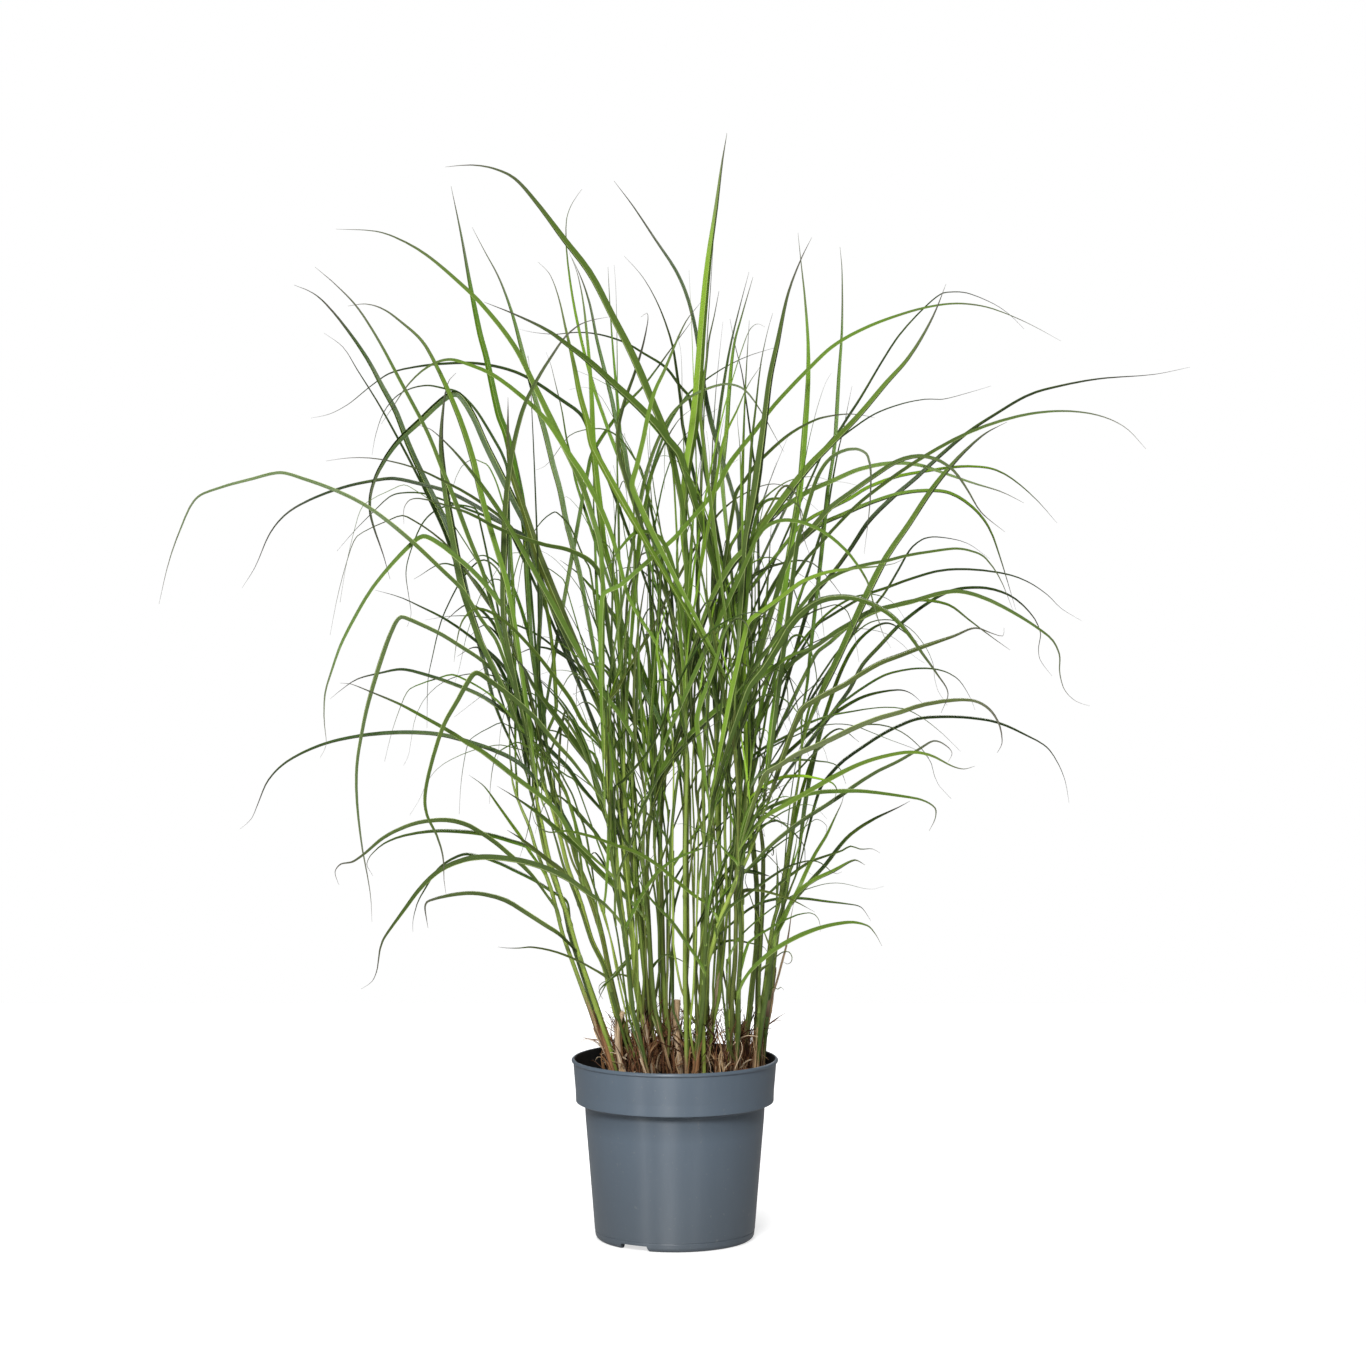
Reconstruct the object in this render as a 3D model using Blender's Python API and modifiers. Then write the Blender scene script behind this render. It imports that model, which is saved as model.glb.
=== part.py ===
"""A potted ornamental grass clump: a nursery pot, its soil, 38 leafy tillers and 4 dead shoots.

Metres, +Z up. The origin is the middle of the pot's underside, and the plant's front faces -Y.
"""

import math
import random

import bmesh
import bpy
import numpy as np
from mathutils import Vector, kdtree

MM = 0.001

# Pot, all in mm
RIM_HEIGHT = 166.5
RIM_RADIUS = 95.0
LIP_HEIGHT = 3.2
COLLAR_TOP_RADIUS = 93.6
COLLAR_FOOT_RADIUS = 90.4
COLLAR_FOOT_HEIGHT = 126.5
BODY_TOP_RADIUS = 82.6
BODY_TOP_HEIGHT = 118.0
BODY_FOOT_RADIUS = 73.6
FOOT_ROUNDING = 4.5
FOOT_RING = 3.0
WALL = 1.9
FLOOR_UNDERSIDE = 6.0
FLOOR = 2.0
HUB_RADIUS = 14.0
RIB = 2.2
RIB_UNDERSIDE = 1.0
RIB_LAP = 0.8
RIB_IN_HUB = 3.0
RIB_IN_RING = 1.4
POT_SIDES = 36
NOTCHES = 2
NOTCH_TURN = -31.0
NOTCH_WIDTH = 27.0
NOTCH_HEIGHT = 5.2
NOTCH_SLANT = 2.5
NOTCH_REACH_OUT = 8.0
NOTCH_REACH_IN = 14.0
DRAINS = 4
DRAIN_RADIUS = 5.5
DRAIN_RING = 46.0
DRAIN_SIDES = 12
DRAIN_LENGTH = 12.0
BELOW = 3.0

# Soil, in mm
GAP = 0.3
SOIL_EDGE_HEIGHT = 144.0
SOIL_MOUND = 5.0
SOIL_ROUGHNESS = 1.6
SOIL_RINGS = [0, 24, 46, 66, 82]
SOIL_SMOOTH_EDGE = 84

# Grass, in mm
CULM_RADIUS = 2.3
CULM_TOP = 0.65
CULM_SIDES = 4
CULM_TOLERANCE = 1.5
BLADE_TOLERANCE = 3.0
ROOTED = 3
FOOT_ASIDE = 0.25
KEEL_SLOPE = 0.35
KEEL_ROOM = 1.2
BLADE_TIP_WIDTH = 0.9
BLADE_TIP_KEEL = 0.5
NEAR = 13.0
JOINT = 9
STIFFNESS = 0.3
DEPTH_PULL = 0.3
MOST_LEAN = 0.85
DEEPER = 1.45
FEWEST_BLADES = 4
CROWDED = ("bk6", "bk9")
STEP = 6.0
REACH = 15.6
CLEARANCE = 3.0
SIDEWAYS = 0.6
TONES = {
    "y": (0.29, 0.46, 0.08),
    "g": (0.16, 0.27, 0.06),
    "d": (0.07, 0.14, 0.035),
    "o": (0.20, 0.22, 0.10),
    "s": (0.48, 0.34, 0.19),
}

# The sight line of the photo: where the eye stands, where it looks, and the photo's pixels for a
# slope of 1 beside its middle. Routes are read off the photo and set at a depth behind the pot's axis.
EYE = Vector((0.0075, -3.3, 0.69))
AIM = Vector((0.0075, 0.0, 0.5115))
MIDDLE = 683.0
HEART = 676.0
PIXELS_PER_SLOPE = 3612.0
MM_PER_PIXEL = 0.92
SEED = 11

# name, tone, blade width mm, width shown px, lean of the tip mm (+ away from the viewer), route tip first
LEAVES = """
a1 g 9 8 -60: 336 229, 376 231, 400 239, 426 254, 455 278, 482 304, 514 345, 536 388, 560 438, 570 458, 582 485, 592 515, 600 545, 602 570, 603 598, 603 626
a2 g 10 9 -150: 445 167, 470 165, 492 168, 514 178, 536 202, 564 239, 590 273, 612 315, 633 356, 655 408, 668 440, 675 470, 682 505, 685 540, 686 575
a3 g 9 9 40: 451 186, 461 234, 470 284, 480 334, 486 356, 499 415, 506 433, 515 471, 522 505, 526 540, 527 575, 529 610, 532 650
a4 g 7 4 -30: 315 267, 335 284, 357 307, 379 341, 400 380, 422 421, 431 440, 442 468, 455 500, 470 540, 483 572, 493 609, 502 640
a5 d 9 8 60: 294 285, 311 292, 324 302, 346 328, 368 360, 383 388, 396 412, 409 446, 426 483, 444 520, 457 554, 465 585, 473 620, 484 662, 497 710
a6 d 5 3 120: 324 333, 343 347, 357 369, 379 404, 398 438, 415 470, 430 500, 448 540
a7 y 8 7 -90: 348 306, 366 304, 383 309, 400 321, 422 341, 437 367, 450 395, 462 425, 473 460, 480 490, 488 520, 497 550, 506 580, 514 620, 520 660
a8 d 6 3 160: 311 418, 329 414, 348 404, 370 386, 389 373, 411 367, 444 363, 480 363, 520 373, 560 398, 585 420
a9 g 8 6 -120: 381 424, 392 408, 405 388, 420 372, 436 362, 450 359, 463 362, 492 374, 525 399, 547 421, 560 440, 572 458, 583 474, 597 500, 610 530, 619 560, 628 595, 640 618, 652 636, 662 655, 672 680
a10 d 5 3 90: 372 455, 375 437, 383 413, 395 397, 406 390, 418 386, 430 385, 445 388, 457 391, 468 400, 478 412, 488 428, 495 440, 503 455, 508 472
a11 d 10 9 -40: 456 373, 450 379, 446 390, 443 410, 441 440, 443 470, 447 500, 452 530, 457 560, 462 585, 470 612, 480 640, 492 665, 506 695
a12 d 9 8 20: 390 579, 383 554, 374 528, 370 511, 371 492, 379 470, 396 444, 420 421, 444 399, 457 394, 472 414, 486 445, 501 475, 515 503, 528 530, 535 560, 541 590, 540 620, 538 660, 538 690, 541 720
a13 o 9 9 30: 508 397, 508 420, 508 445, 511 470, 517 490, 524 510, 532 535, 540 560
a14 d 8 6 -70: 609 317, 597 319, 581 324, 566 336, 553 354, 538 378, 525 404, 517 430, 511 460, 507 490, 505 520, 504 560, 503 600, 505 630
a15 g 8 7 80: 472 227, 484 250, 499 278, 512 313, 523 354, 534 395, 545 432, 553 465, 560 490, 566 520, 573 548, 580 575
a16 y 7 7 -60: 538 262, 549 273, 558 295, 566 330, 573 360, 580 395, 587 420, 594 450
a17 y 5 4 100: 546 352, 551 365, 556 385, 562 410, 567 440, 572 460, 577 485
a18 g 6 4 140: 582 189, 573 202, 567 217, 566 239, 568 265, 573 300, 579 330, 586 360, 596 395, 603 415, 612 440
a19 y 8 8 -30: 569 252, 577 272, 583 300, 587 335, 590 370, 592 405, 593 440, 596 475, 600 510, 604 545, 611 570, 617 600
a20 g 7 6 50: 572 258, 582 280, 590 305, 597 340, 605 372, 612 400, 617 425, 624 450, 630 480
b1 d 7 4 60: 614 181, 633 206, 655 239, 675 269, 686 293, 694 321, 699 349, 704 385, 711 420, 720 452, 731 487, 738 515, 739 545, 741 580, 742 610, 742 640
b2 d 6 4 160: 624 256, 640 273, 653 293, 664 317, 673 345, 677 369, 681 400, 684 430
b3 y 5 4 90: 608 267, 610 306, 613 350, 617 395, 619 420, 622 450, 628 480
b4 d 6 5 -50: 641 317, 647 313, 648 319, 643 345, 634 375, 625 400, 618 430, 620 460
b5 g 8 7 -90: 701 302, 686 321, 673 349, 664 371, 655 390, 648 415, 643 440, 637 465, 633 490
b6 g 7 5 120: 694 318, 680 337, 668 353, 655 371, 640 390, 625 405, 611 424, 600 440, 590 460
b7 g 10 8 -160: 484 302, 514 314, 547 330, 568 345, 590 362, 612 382, 633 401, 655 423, 668 440, 680 456
b8 d 6 3 180: 519 329, 532 332, 555 334, 577 332, 599 334, 625 342, 644 353, 666 367, 680 385, 690 398
b9 y 11 11 -30: 727 133, 722 163, 716 208, 709 256, 703 317, 699 371, 694 425, 688 461, 684 500, 684 538, 688 575, 688 612
b10 d 6 4 90: 749 272, 740 306, 731 343, 724 382, 718 425, 716 450, 714 480
b11 g 6 5 60: 753 277, 742 315, 734 345, 729 393, 727 425, 724 455, 722 480
b12 g 5 4 -80: 719 291, 714 317, 709 339, 706 365, 703 390, 701 420
b13 d 4 3 150: 730 319, 735 345, 742 373, 746 400, 750 430, 753 455, 757 480
b14 y 5 3 -120: 762 364, 748 385, 737 410, 727 430, 722 445
b15 y 4 3 -60: 737 405, 738 425, 740 445, 741 470, 742 500
b16 d 9 9 -90: 812 237, 801 259, 788 294, 777 345, 770 378, 764 425, 760 455, 756 485, 751 515, 746 540, 744 570
b17 d 5 3 110: 777 347, 748 356, 725 367, 705 380, 690 392, 678 408, 668 425, 660 445, 652 470, 647 490
b18 d 5 4 -60: 784 452, 776 438, 765 418, 752 398, 742 388, 727 384, 709 388, 690 397, 672 414, 658 440, 648 468, 641 498
b19 g 7 5 -20: 693 408, 680 418, 670 432, 660 452, 651 475, 646 500, 640 530
b20 d 6 4 -170: 875 418, 862 415, 845 414, 820 418, 806 424, 792 432, 779 442, 765 455, 755 465, 746 478, 735 495
c1 y 10 9 -50: 798 233, 801 262, 805 299, 808 339, 808 382, 804 441, 799 495, 788 562, 780 618, 773 655, 764 693, 757 725, 753 755
c2 g 7 5 60: 840 247, 842 270, 842 329, 839 374, 835 441, 832 465, 828 490, 825 520, 822 550, 818 585, 814 620, 810 655, 807 685, 802 715
c3 d 5 3 150: 1024 329, 1010 315, 994 304, 967 293, 951 292, 941 294, 925 307, 900 334, 882 361, 860 398, 847 418, 838 432, 826 446, 812 462, 800 478
c4 g 8 5 -60: 1061 341, 1034 326, 1008 314, 984 306, 957 303, 930 306, 900 314, 866 327, 834 345, 807 370, 780 398, 768 412, 755 430, 742 446, 728 465, 718 485, 703 505, 690 520, 675 537, 658 552, 640 568, 620 585, 602 597
c5 g 10 9 -120: 946 284, 935 312, 922 337, 906 361, 887 382, 860 414, 834 441, 812 463, 796 482, 780 503, 762 528, 750 545, 735 560, 722 580, 710 603, 700 628, 690 655
c6 d 5 3 40: 852 386, 848 405, 843 430, 838 450, 834 470, 830 492, 826 515
c7 d 4 2 120: 991 386, 967 393, 943 399, 925 399, 900 404, 874 414, 850 430, 835 442, 820 458
c8 d 8 4 60: 1190 367, 1155 374, 1101 378, 1061 385, 1029 394, 994 414, 967 432, 941 454, 914 479, 892 497, 868 521, 852 545, 838 565, 824 582, 810 600
c9 d 7 3 -60: 1146 449, 1126 428, 1101 416, 1069 411, 1034 413, 1000 421, 967 433, 941 446, 909 465, 882 484, 858 503, 836 525, 818 545, 803 562
c10 g 10 8 -90: 1007 422, 986 433, 967 449, 949 468, 930 492, 909 524, 887 556, 870 588, 856 618, 844 645, 830 675, 818 700, 808 725, 802 745
c11 g 7 4 120: 1057 523, 1037 500, 1013 479, 994 469, 973 466, 951 467, 925 471, 898 476, 868 487, 850 498, 830 508, 812 517, 796 530
c12 g 9 6 -30: 1024 503, 1002 492, 973 483, 941 472, 919 465, 892 463, 860 469, 834 480, 807 492, 790 503, 775 513, 760 525
c13 d 9 7 -140: 1005 532, 981 512, 967 489, 954 471, 938 460, 919 456, 898 461, 874 476, 850 493, 830 508, 815 525, 800 540, 790 556, 782 575
c14 g 8 5 40: 1016 610, 1000 556, 989 527, 973 507, 951 493, 930 490, 900 493, 868 503, 840 515, 822 523, 806 535, 794 548
c15 d 8 6 -60: 864 554, 868 520, 870 495, 870 468, 866 454, 859 450, 847 450, 832 457, 820 472, 811 495, 804 520, 798 540
c16 d 5 3 90: 990 559, 967 543, 941 537, 925 538, 911 548, 898 570, 885 592, 874 606, 862 620
c17 d 7 4 -80: 1013 610, 1000 578, 985 557, 973 551, 957 548, 930 551, 906 555, 887 560, 870 563, 850 568, 832 576, 815 588
c18 y 8 7 -140: 905 558, 895 563, 878 566, 855 568, 832 571, 815 576, 800 583, 788 592, 775 602, 760 613, 748 624
c19 d 5 3 150: 1082 621, 1061 608, 1048 595, 1029 582, 1008 574, 973 569, 941 570, 909 579, 885 588, 870 593, 850 604, 830 616, 815 627
c20 g 8 6 -180: 891 648, 884 636, 878 618, 873 600, 868 582, 858 565, 846 550, 830 536, 815 527, 798 521, 782 520, 768 525, 757 536, 750 552
c21 g 8 6 -60: 808 535, 804 520, 800 507, 790 500, 776 498, 765 501, 758 511, 754 526, 751 546
d1 d 8 5 -40: 1090 706, 1076 701, 1065 690, 1060 672, 1060 655, 1053 640, 1040 629, 1015 613, 985 598, 960 591, 939 593, 912 601, 890 606, 868 612, 852 622, 835 632, 820 643, 800 656, 785 670
d2 d 7 4 120: 1052 676, 1040 659, 1039 646, 1041 634, 1034 617, 1015 598, 994 589, 973 587, 952 590, 930 601, 901 623, 880 645, 862 665, 850 688, 838 705
d3 g 7 5 60: 1010 650, 989 635, 968 619, 949 605, 922 600, 901 603, 880 610, 862 618, 846 628, 830 642, 815 655
d4 o 8 7 -100: 1004 628, 1003 636, 994 634, 975 628, 954 636, 922 647, 901 655, 880 663, 859 675, 846 684, 832 691, 815 700, 800 712
d5 g 9 8 -170: 941 713, 948 693, 937 674, 922 653, 907 632, 893 617, 880 608, 862 600, 843 597, 822 600, 805 610, 790 626, 778 646, 764 668, 748 690
d6 d 4 2 90: 975 710, 970 697, 958 679, 941 670, 918 668, 893 672, 880 677, 862 688, 848 698, 836 708
d7 d 7 4 150: 922 703, 912 694, 901 690, 880 692, 862 697, 845 706, 830 716, 812 730
d8 o 9 6 -60: 997 753, 1002 743, 999 724, 989 709, 975 701, 954 700, 922 705, 901 712, 880 718, 855 728, 835 738, 815 747, 797 755, 780 766, 765 776
d9 d 6 3 60: 1069 803, 1065 781, 1057 762, 1046 747, 1027 736, 998 723, 970 718, 943 717, 918 719, 897 727, 880 736, 862 748, 845 760, 832 773, 820 790
d10 g 8 6 -130: 975 766, 964 769, 952 766, 930 755, 909 752, 880 757, 859 764, 840 773, 820 784, 803 794, 788 803, 772 812, 757 824
d11 d 7 5 -40: 948 762, 952 753, 945 745, 934 741, 918 750, 897 762, 880 770, 860 782, 843 794, 825 806, 806 818, 788 831, 768 848, 752 864
d12 g 7 5 -90: 929 831, 935 819, 935 808, 922 800, 907 797, 880 793, 860 791, 840 791, 820 792, 800 796, 785 801, 770 807, 757 816, 744 829
d13 d 7 6 60: 910 801, 899 807, 872 820, 851 834, 838 848, 826 864, 813 878, 801 892, 792 903, 785 916
d14 g 7 6 -60: 844 794, 842 802, 836 815, 826 836, 815 854, 806 872, 798 890, 790 905, 783 922
d15 d 5 3 -120: 880 853, 873 849, 860 849, 851 846, 843 850, 828 855, 809 862, 789 876, 775 887, 760 897
d16 g 7 5 -150: 865 865, 855 860, 842 866, 833 871, 814 880, 797 893, 788 908, 780 925
d17 d 5 3 30: 871 921, 861 907, 849 904, 826 901, 803 898, 780 898, 762 902, 747 910, 735 920
d18 g 8 6 -90: 882 946, 878 938, 870 927, 860 923, 849 922, 826 926, 803 934, 780 946, 765 957, 750 972, 740 988
d19 s 4 3 -60: 815 912, 808 908, 797 902, 785 897, 772 893, 758 889, 745 885
d20 s 4 3 -40: 794 903, 791 915, 789 929, 786 946, 781 965, 776 985
e1 d 7 4 -40: 159 604, 168 565, 179 533, 196 499, 220 488, 253 479, 280 473, 303 479, 331 489, 357 501, 379 515, 411 541, 444 572, 462 590, 480 618, 498 645
e2 d 8 5 60: 242 588, 255 567, 270 533, 287 513, 313 498, 346 486, 374 480, 394 478, 422 484, 444 490, 460 497, 480 508, 497 519, 512 529, 525 537
e3 d 6 4 -90: 326 461, 348 458, 370 458, 394 462, 418 469, 444 481, 465 492, 485 505, 503 519, 516 534
e4 d 5 3 120: 337 551, 357 528, 374 511, 389 497, 400 493, 422 493, 444 500, 465 508, 490 518, 510 531
e5 d 8 6 -120: 404 524, 404 509, 410 500, 422 499, 444 505, 470 514, 495 527, 520 537, 545 545, 565 549, 580 555, 592 563, 601 577, 604 597
e6 g 8 6 -60: 320 758, 326 745, 324 719, 325 693, 331 672, 340 646, 353 620, 370 591, 389 567, 411 544, 423 536, 439 543, 457 557, 475 573, 490 590, 501 604, 511 616
e7 d 4 2 150: 407 627, 411 615, 409 598, 406 572, 411 550, 422 524, 433 512, 446 506, 462 505, 478 512
e8 d 6 4 90: 375 590, 400 597, 422 607, 444 618, 465 632, 485 648, 502 664, 512 680
e9 d 7 5 -40: 372 922, 371 899, 368 878, 362 845, 357 799, 357 765, 362 732, 369 700, 385 648, 396 622, 401 617, 422 625, 444 636, 463 648, 480 659, 495 673, 506 690
e10 d 8 6 60: 330 699, 342 689, 357 679, 379 673, 402 669, 428 675, 454 684, 480 695, 500 708, 520 722, 536 736, 552 752, 568 768, 580 785
e11 g 8 6 -110: 340 683, 351 684, 374 693, 400 704, 428 719, 454 734, 467 743, 480 750, 500 765, 515 777, 530 788, 548 802, 562 818, 572 836
e12 d 3 2 60: 427 728, 428 680, 432 659, 441 622, 454 593, 463 578, 473 566, 484 560, 496 568, 504 585
e13 d 8 6 -160: 446 894, 444 880, 443 857, 437 836, 427 815, 425 796, 431 765, 444 725, 458 700, 468 682, 476 673, 490 681, 510 696, 533 716, 545 730, 556 743, 570 758, 581 772
e14 d 8 5 60: 240 829, 251 819, 258 803, 268 780, 287 761, 322 744, 362 735, 402 732, 440 734, 475 743, 500 752, 520 763, 533 776, 548 793, 562 813, 574 836
e15 d 8 6 -60: 339 885, 335 872, 341 864, 352 862, 364 854, 383 838, 402 828, 421 822, 446 820, 465 824, 480 832, 496 843, 510 855, 522 865, 535 879, 547 896
e16 g 8 5 120: 373 876, 367 864, 370 857, 383 845, 402 837, 431 832, 460 832, 488 835, 510 841, 530 848, 545 858, 560 869, 572 883
e17 d 9 7 -90: 361 989, 372 981, 377 968, 379 952, 383 939, 402 912, 421 887, 440 870, 463 860, 484 857, 510 859, 530 863, 550 870, 570 880, 588 893, 605 905, 618 920
e18 d 6 4 90: 413 932, 413 922, 417 905, 423 893, 440 868, 463 855, 480 857, 498 863, 515 871, 535 881, 552 892, 567 902
e19 d 8 6 -30: 428 928, 425 907, 427 902, 446 896, 469 893, 488 895, 507 901, 525 912, 545 925, 560 935, 574 949
e20 o 4 3 -60: 498 947, 507 948, 520 948, 530 947, 545 949, 560 953, 577 960, 592 968, 603 976
e21 y 5 4 -80: 469 775, 484 786, 498 805, 510 822, 520 836, 530 852, 541 869
e22 g 8 7 -120: 497 786, 515 797, 539 814, 552 825, 564 836, 580 850, 594 866
e23 o 7 5 -60: 507 830, 520 838, 533 848, 545 858, 558 870
f1 g 9 8 -190: 842 632, 826 640, 810 648, 790 656, 770 670, 750 685, 730 700, 710 716, 692 733, 678 748, 666 763, 656 782, 652 802
f2 g 8 7 -200: 600 578, 612 560, 622 546, 635 533, 648 532, 660 538, 668 552, 674 572, 678 592, 682 614
f3 g 9 8 -150: 418 425, 430 429, 441 438, 455 452, 470 470, 485 490, 500 512, 512 532, 527 558, 541 583, 556 610, 572 640, 588 668, 602 692, 618 712, 632 735, 645 760
f4 g 7 6 -180: 454 662, 457 640, 463 620, 475 609, 490 612, 508 624, 524 640, 543 662, 558 682, 571 700, 583 722
f5 d 4 3 60: 425 620, 450 616, 475 616, 500 620, 520 626, 540 636, 558 650, 576 662, 592 676
f6 g 10 8 -120: 512 655, 524 668, 533 685, 546 703, 560 722, 574 742, 588 760, 602 778, 614 800, 622 825
f7 g 8 7 -60: 752 636, 745 622, 738 618, 730 624, 722 640, 717 660, 710 680, 702 700, 697 722
f8 d 8 7 -30: 652 585, 662 612, 675 638, 690 662, 705 683, 718 702, 730 724, 738 748
f9 g 8 7 60: 603 592, 612 615, 625 648, 638 678, 650 702, 661 725, 672 748, 681 777
f10 d 9 8 -80: 793 500, 778 515, 762 530, 747 548, 733 566, 720 585, 708 610, 697 640, 690 670, 688 700
f11 y 6 4 -160: 532 812, 536 824, 548 832, 566 831, 590 836, 615 845, 638 853, 658 865, 676 880, 694 895, 708 905, 718 920
f12 g 6 5 -130: 718 841, 703 848, 686 854, 670 862, 658 872, 646 888, 636 906, 629 926
f13 g 5 4 -90: 632 868, 640 882, 650 898, 662 911, 672 922, 682 936
f14 g 5 5 -40: 603 999, 599 992, 603 986, 613 977, 624 965, 634 953, 643 940, 650 925
f15 o 8 6 100: 575 640, 590 650, 604 664, 618 680, 630 700, 640 722, 650 748
f16 g 8 7 140: 560 560, 580 575, 600 598, 618 622, 632 648, 644 675, 655 705, 664 735
"""
# name, tone, depth at the soil and at the top mm, route from the soil up
CULMS = """
k1 g -8 40: 612 1068, 604 1046, 597 1030, 588 1004, 574 966, 563 935, 553 896, 546 875, 536 849, 529 826, 520 805, 513 784, 510 759
k2 y 6 10: 615 1068, 606 1038, 598 1013, 587 980, 576 945, 568 916, 560 893, 549 857, 542 823, 536 795, 532 769
k3 y 18 -20: 630 1064, 622 1036, 612 998, 604 966, 592 941, 584 914, 577 892, 568 868, 561 840, 553 812, 544 787, 539 770
k4 g 34 60: 636 1066, 626 1036, 617 1005, 609 970, 602 935, 594 905, 585 880, 577 862, 571 840, 565 823, 554 788, 548 759
k5 y -18 -30: 645 1068, 638 1035, 633 1015, 630 986, 626 940, 621 903, 618 875, 614 840, 610 805, 608 780, 605 745, 604 710
k6 y 4 -8: 652 1068, 648 1053, 644 1030, 639 999, 635 969, 632 931, 629 890, 627 854, 625 812, 624 773, 624 738
k7 g 20 30: 667 1066, 660 1038, 654 1007, 651 960, 649 920, 647 880, 648 840, 651 812, 653 780, 655 750
k8 o 40 55: 656 1062, 650 1030, 647 990, 645 966, 643 924, 638 889, 631 857, 628 830, 622 800, 617 775
k9 o 48 80: 670 1058, 667 1038, 664 1010, 663 960, 662 910, 661 882, 660 850, 661 820, 664 790, 668 760
k10 g -30 -45: 686 1070, 686 1030, 685 986, 685 938, 685 896, 685 854, 686 812, 687 770, 686 738, 685 696, 686 654
k11 g 2 -10: 694 1068, 698 1030, 701 992, 702 946, 703 900, 704 860, 704 820, 703 780, 705 745, 707 710, 708 680
k12 y -22 -70: 704 1068, 703 1020, 705 990, 707 966, 713 945, 721 917, 727 903, 733 889, 741 871, 749 854, 756 837, 762 820
k13 g 30 20: 707 1056, 712 1019, 716 998, 719 961, 722 920, 722 900, 720 868, 718 833, 717 798, 717 770, 716 745, 717 696
k14 y 10 -20: 728 1066, 730 1030, 731 998, 735 961, 736 920, 738 875, 740 840, 741 798, 740 770, 738 738, 741 696, 741 660
k15 g 36 60: 742 1062, 748 1020, 752 985, 756 950, 757 920, 757 890, 755 860, 752 830, 752 790, 753 773, 755 752, 756 731
k16 g 16 -30: 756 1062, 760 1019, 765 986, 769 952, 773 924, 779 903, 784 875, 789 847, 792 823, 796 795, 800 770, 801 752
k17 g 30 20: 762 1060, 765 1030, 770 999, 774 961, 778 930, 782 910, 790 890, 798 870
k18 o 30 56: 752 1060, 757 1020, 758 985, 760 950, 762 915, 763 880, 763 850, 760 825, 757 800, 760 780
k19 y -6 -50: 734 1068, 737 1030, 738 998, 740 965, 742 930, 741 895, 742 865, 744 829, 748 791, 751 765
"""

# Dead stubs: name, tone, depth of the foot and of the top in mm, width in mm, route from the soil up
STUBS = """
s1 s 14 10 6.5: 679 1068, 678 1046, 676 1020, 677 1000
s2 s 30 34 5: 716 1068, 712 1050, 710 1032, 711 1022
s3 s 6 -4 4.5: 622 1068, 618 1044, 619 1024, 623 1012
s4 s 40 52 5: 742 1066, 745 1048, 743 1032, 745 1022
"""


def rows(table):
    """Each row of a route table as (name, tone, three numbers, points in the photo's pixels)."""
    for line in table.strip().splitlines():
        head, route = line.split(":")
        name, tone, *numbers = head.split()
        points = [tuple(float(v) for v in place.split()) for place in route.split(",")]
        yield name, tone, [float(v) for v in numbers], points


def sight():
    """Unit vectors of the sight line: forward, to the right and up."""
    forward = (AIM - EYE).normalized()
    right = forward.cross(Vector((0, 0, 1))).normalized()
    return forward, right, right.cross(forward)


FORWARD, RIGHT, UP = (np.array(v) for v in sight())
EYE_AT = np.array(EYE)


def rays(pixels):
    """For places in the photo, the way from the eye for each metre of depth."""
    across = (pixels[:, 0] - MIDDLE) / PIXELS_PER_SLOPE
    up = (MIDDLE - pixels[:, 1]) / PIXELS_PER_SLOPE
    ways = FORWARD + across[:, None] * RIGHT + up[:, None] * UP
    return ways / ways[:, 1:2]


def placed(pixels, depths):
    """Points in metres that the photo shows at these pixels, at these depths in mm."""
    return EYE_AT + rays(pixels) * (depths * MM - EYE_AT[1])[:, None]


def smooth_line(points, step):
    """A smooth line through the points, with a place about every step."""
    points = np.asarray(points, float)
    gaps = np.maximum(np.linalg.norm(np.diff(points, axis=0), axis=1), 1e-6)[:, None]
    ways = np.diff(points, axis=0)
    inner = (ways[:-1] + ways[1:]) / (gaps[:-1] + gaps[1:])
    headings = np.vstack([ways[:1] / gaps[:1], inner, ways[-1:] / gaps[-1:]])
    line = []
    for a, b, gap, out, into in zip(points, points[1:], gaps, headings, headings[1:]):
        count = max(1, round(float(gap[0]) / step))
        t = (np.arange(count) / count)[:, None]
        out_part = (t - 2 * t**2 + t**3) * gap * out
        into_part = (t**3 - t**2) * gap * into
        line.append(a + (b - a) * (3 * t**2 - 2 * t**3) + out_part + into_part)
    return np.vstack([*line, points[-1:]])


class Strand:
    """A culm or a blade: its line in the photo from the base up, and its depth along that line."""

    def __init__(self, name, tone, pixels, depths, width, shown, culm=None):
        self.name, self.tone, self.culm = name, tone, culm
        self.pixels, self.depths = pixels, depths
        self.width, self.shown = width, shown
        self.leaves = []

    def points(self):
        return placed(self.pixels, self.depths)

    def lean(self):
        """How far the tip lies behind the base, in mm."""
        return self.depths[-1] - self.depths[0]


def soil_height(x, y):
    """The soil's height in mm at a place given in mm."""
    edge = min(1.0, math.hypot(x, y) / 88.0)
    return SOIL_EDGE_HEIGHT + SOIL_MOUND * (1 - edge**2)


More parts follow.
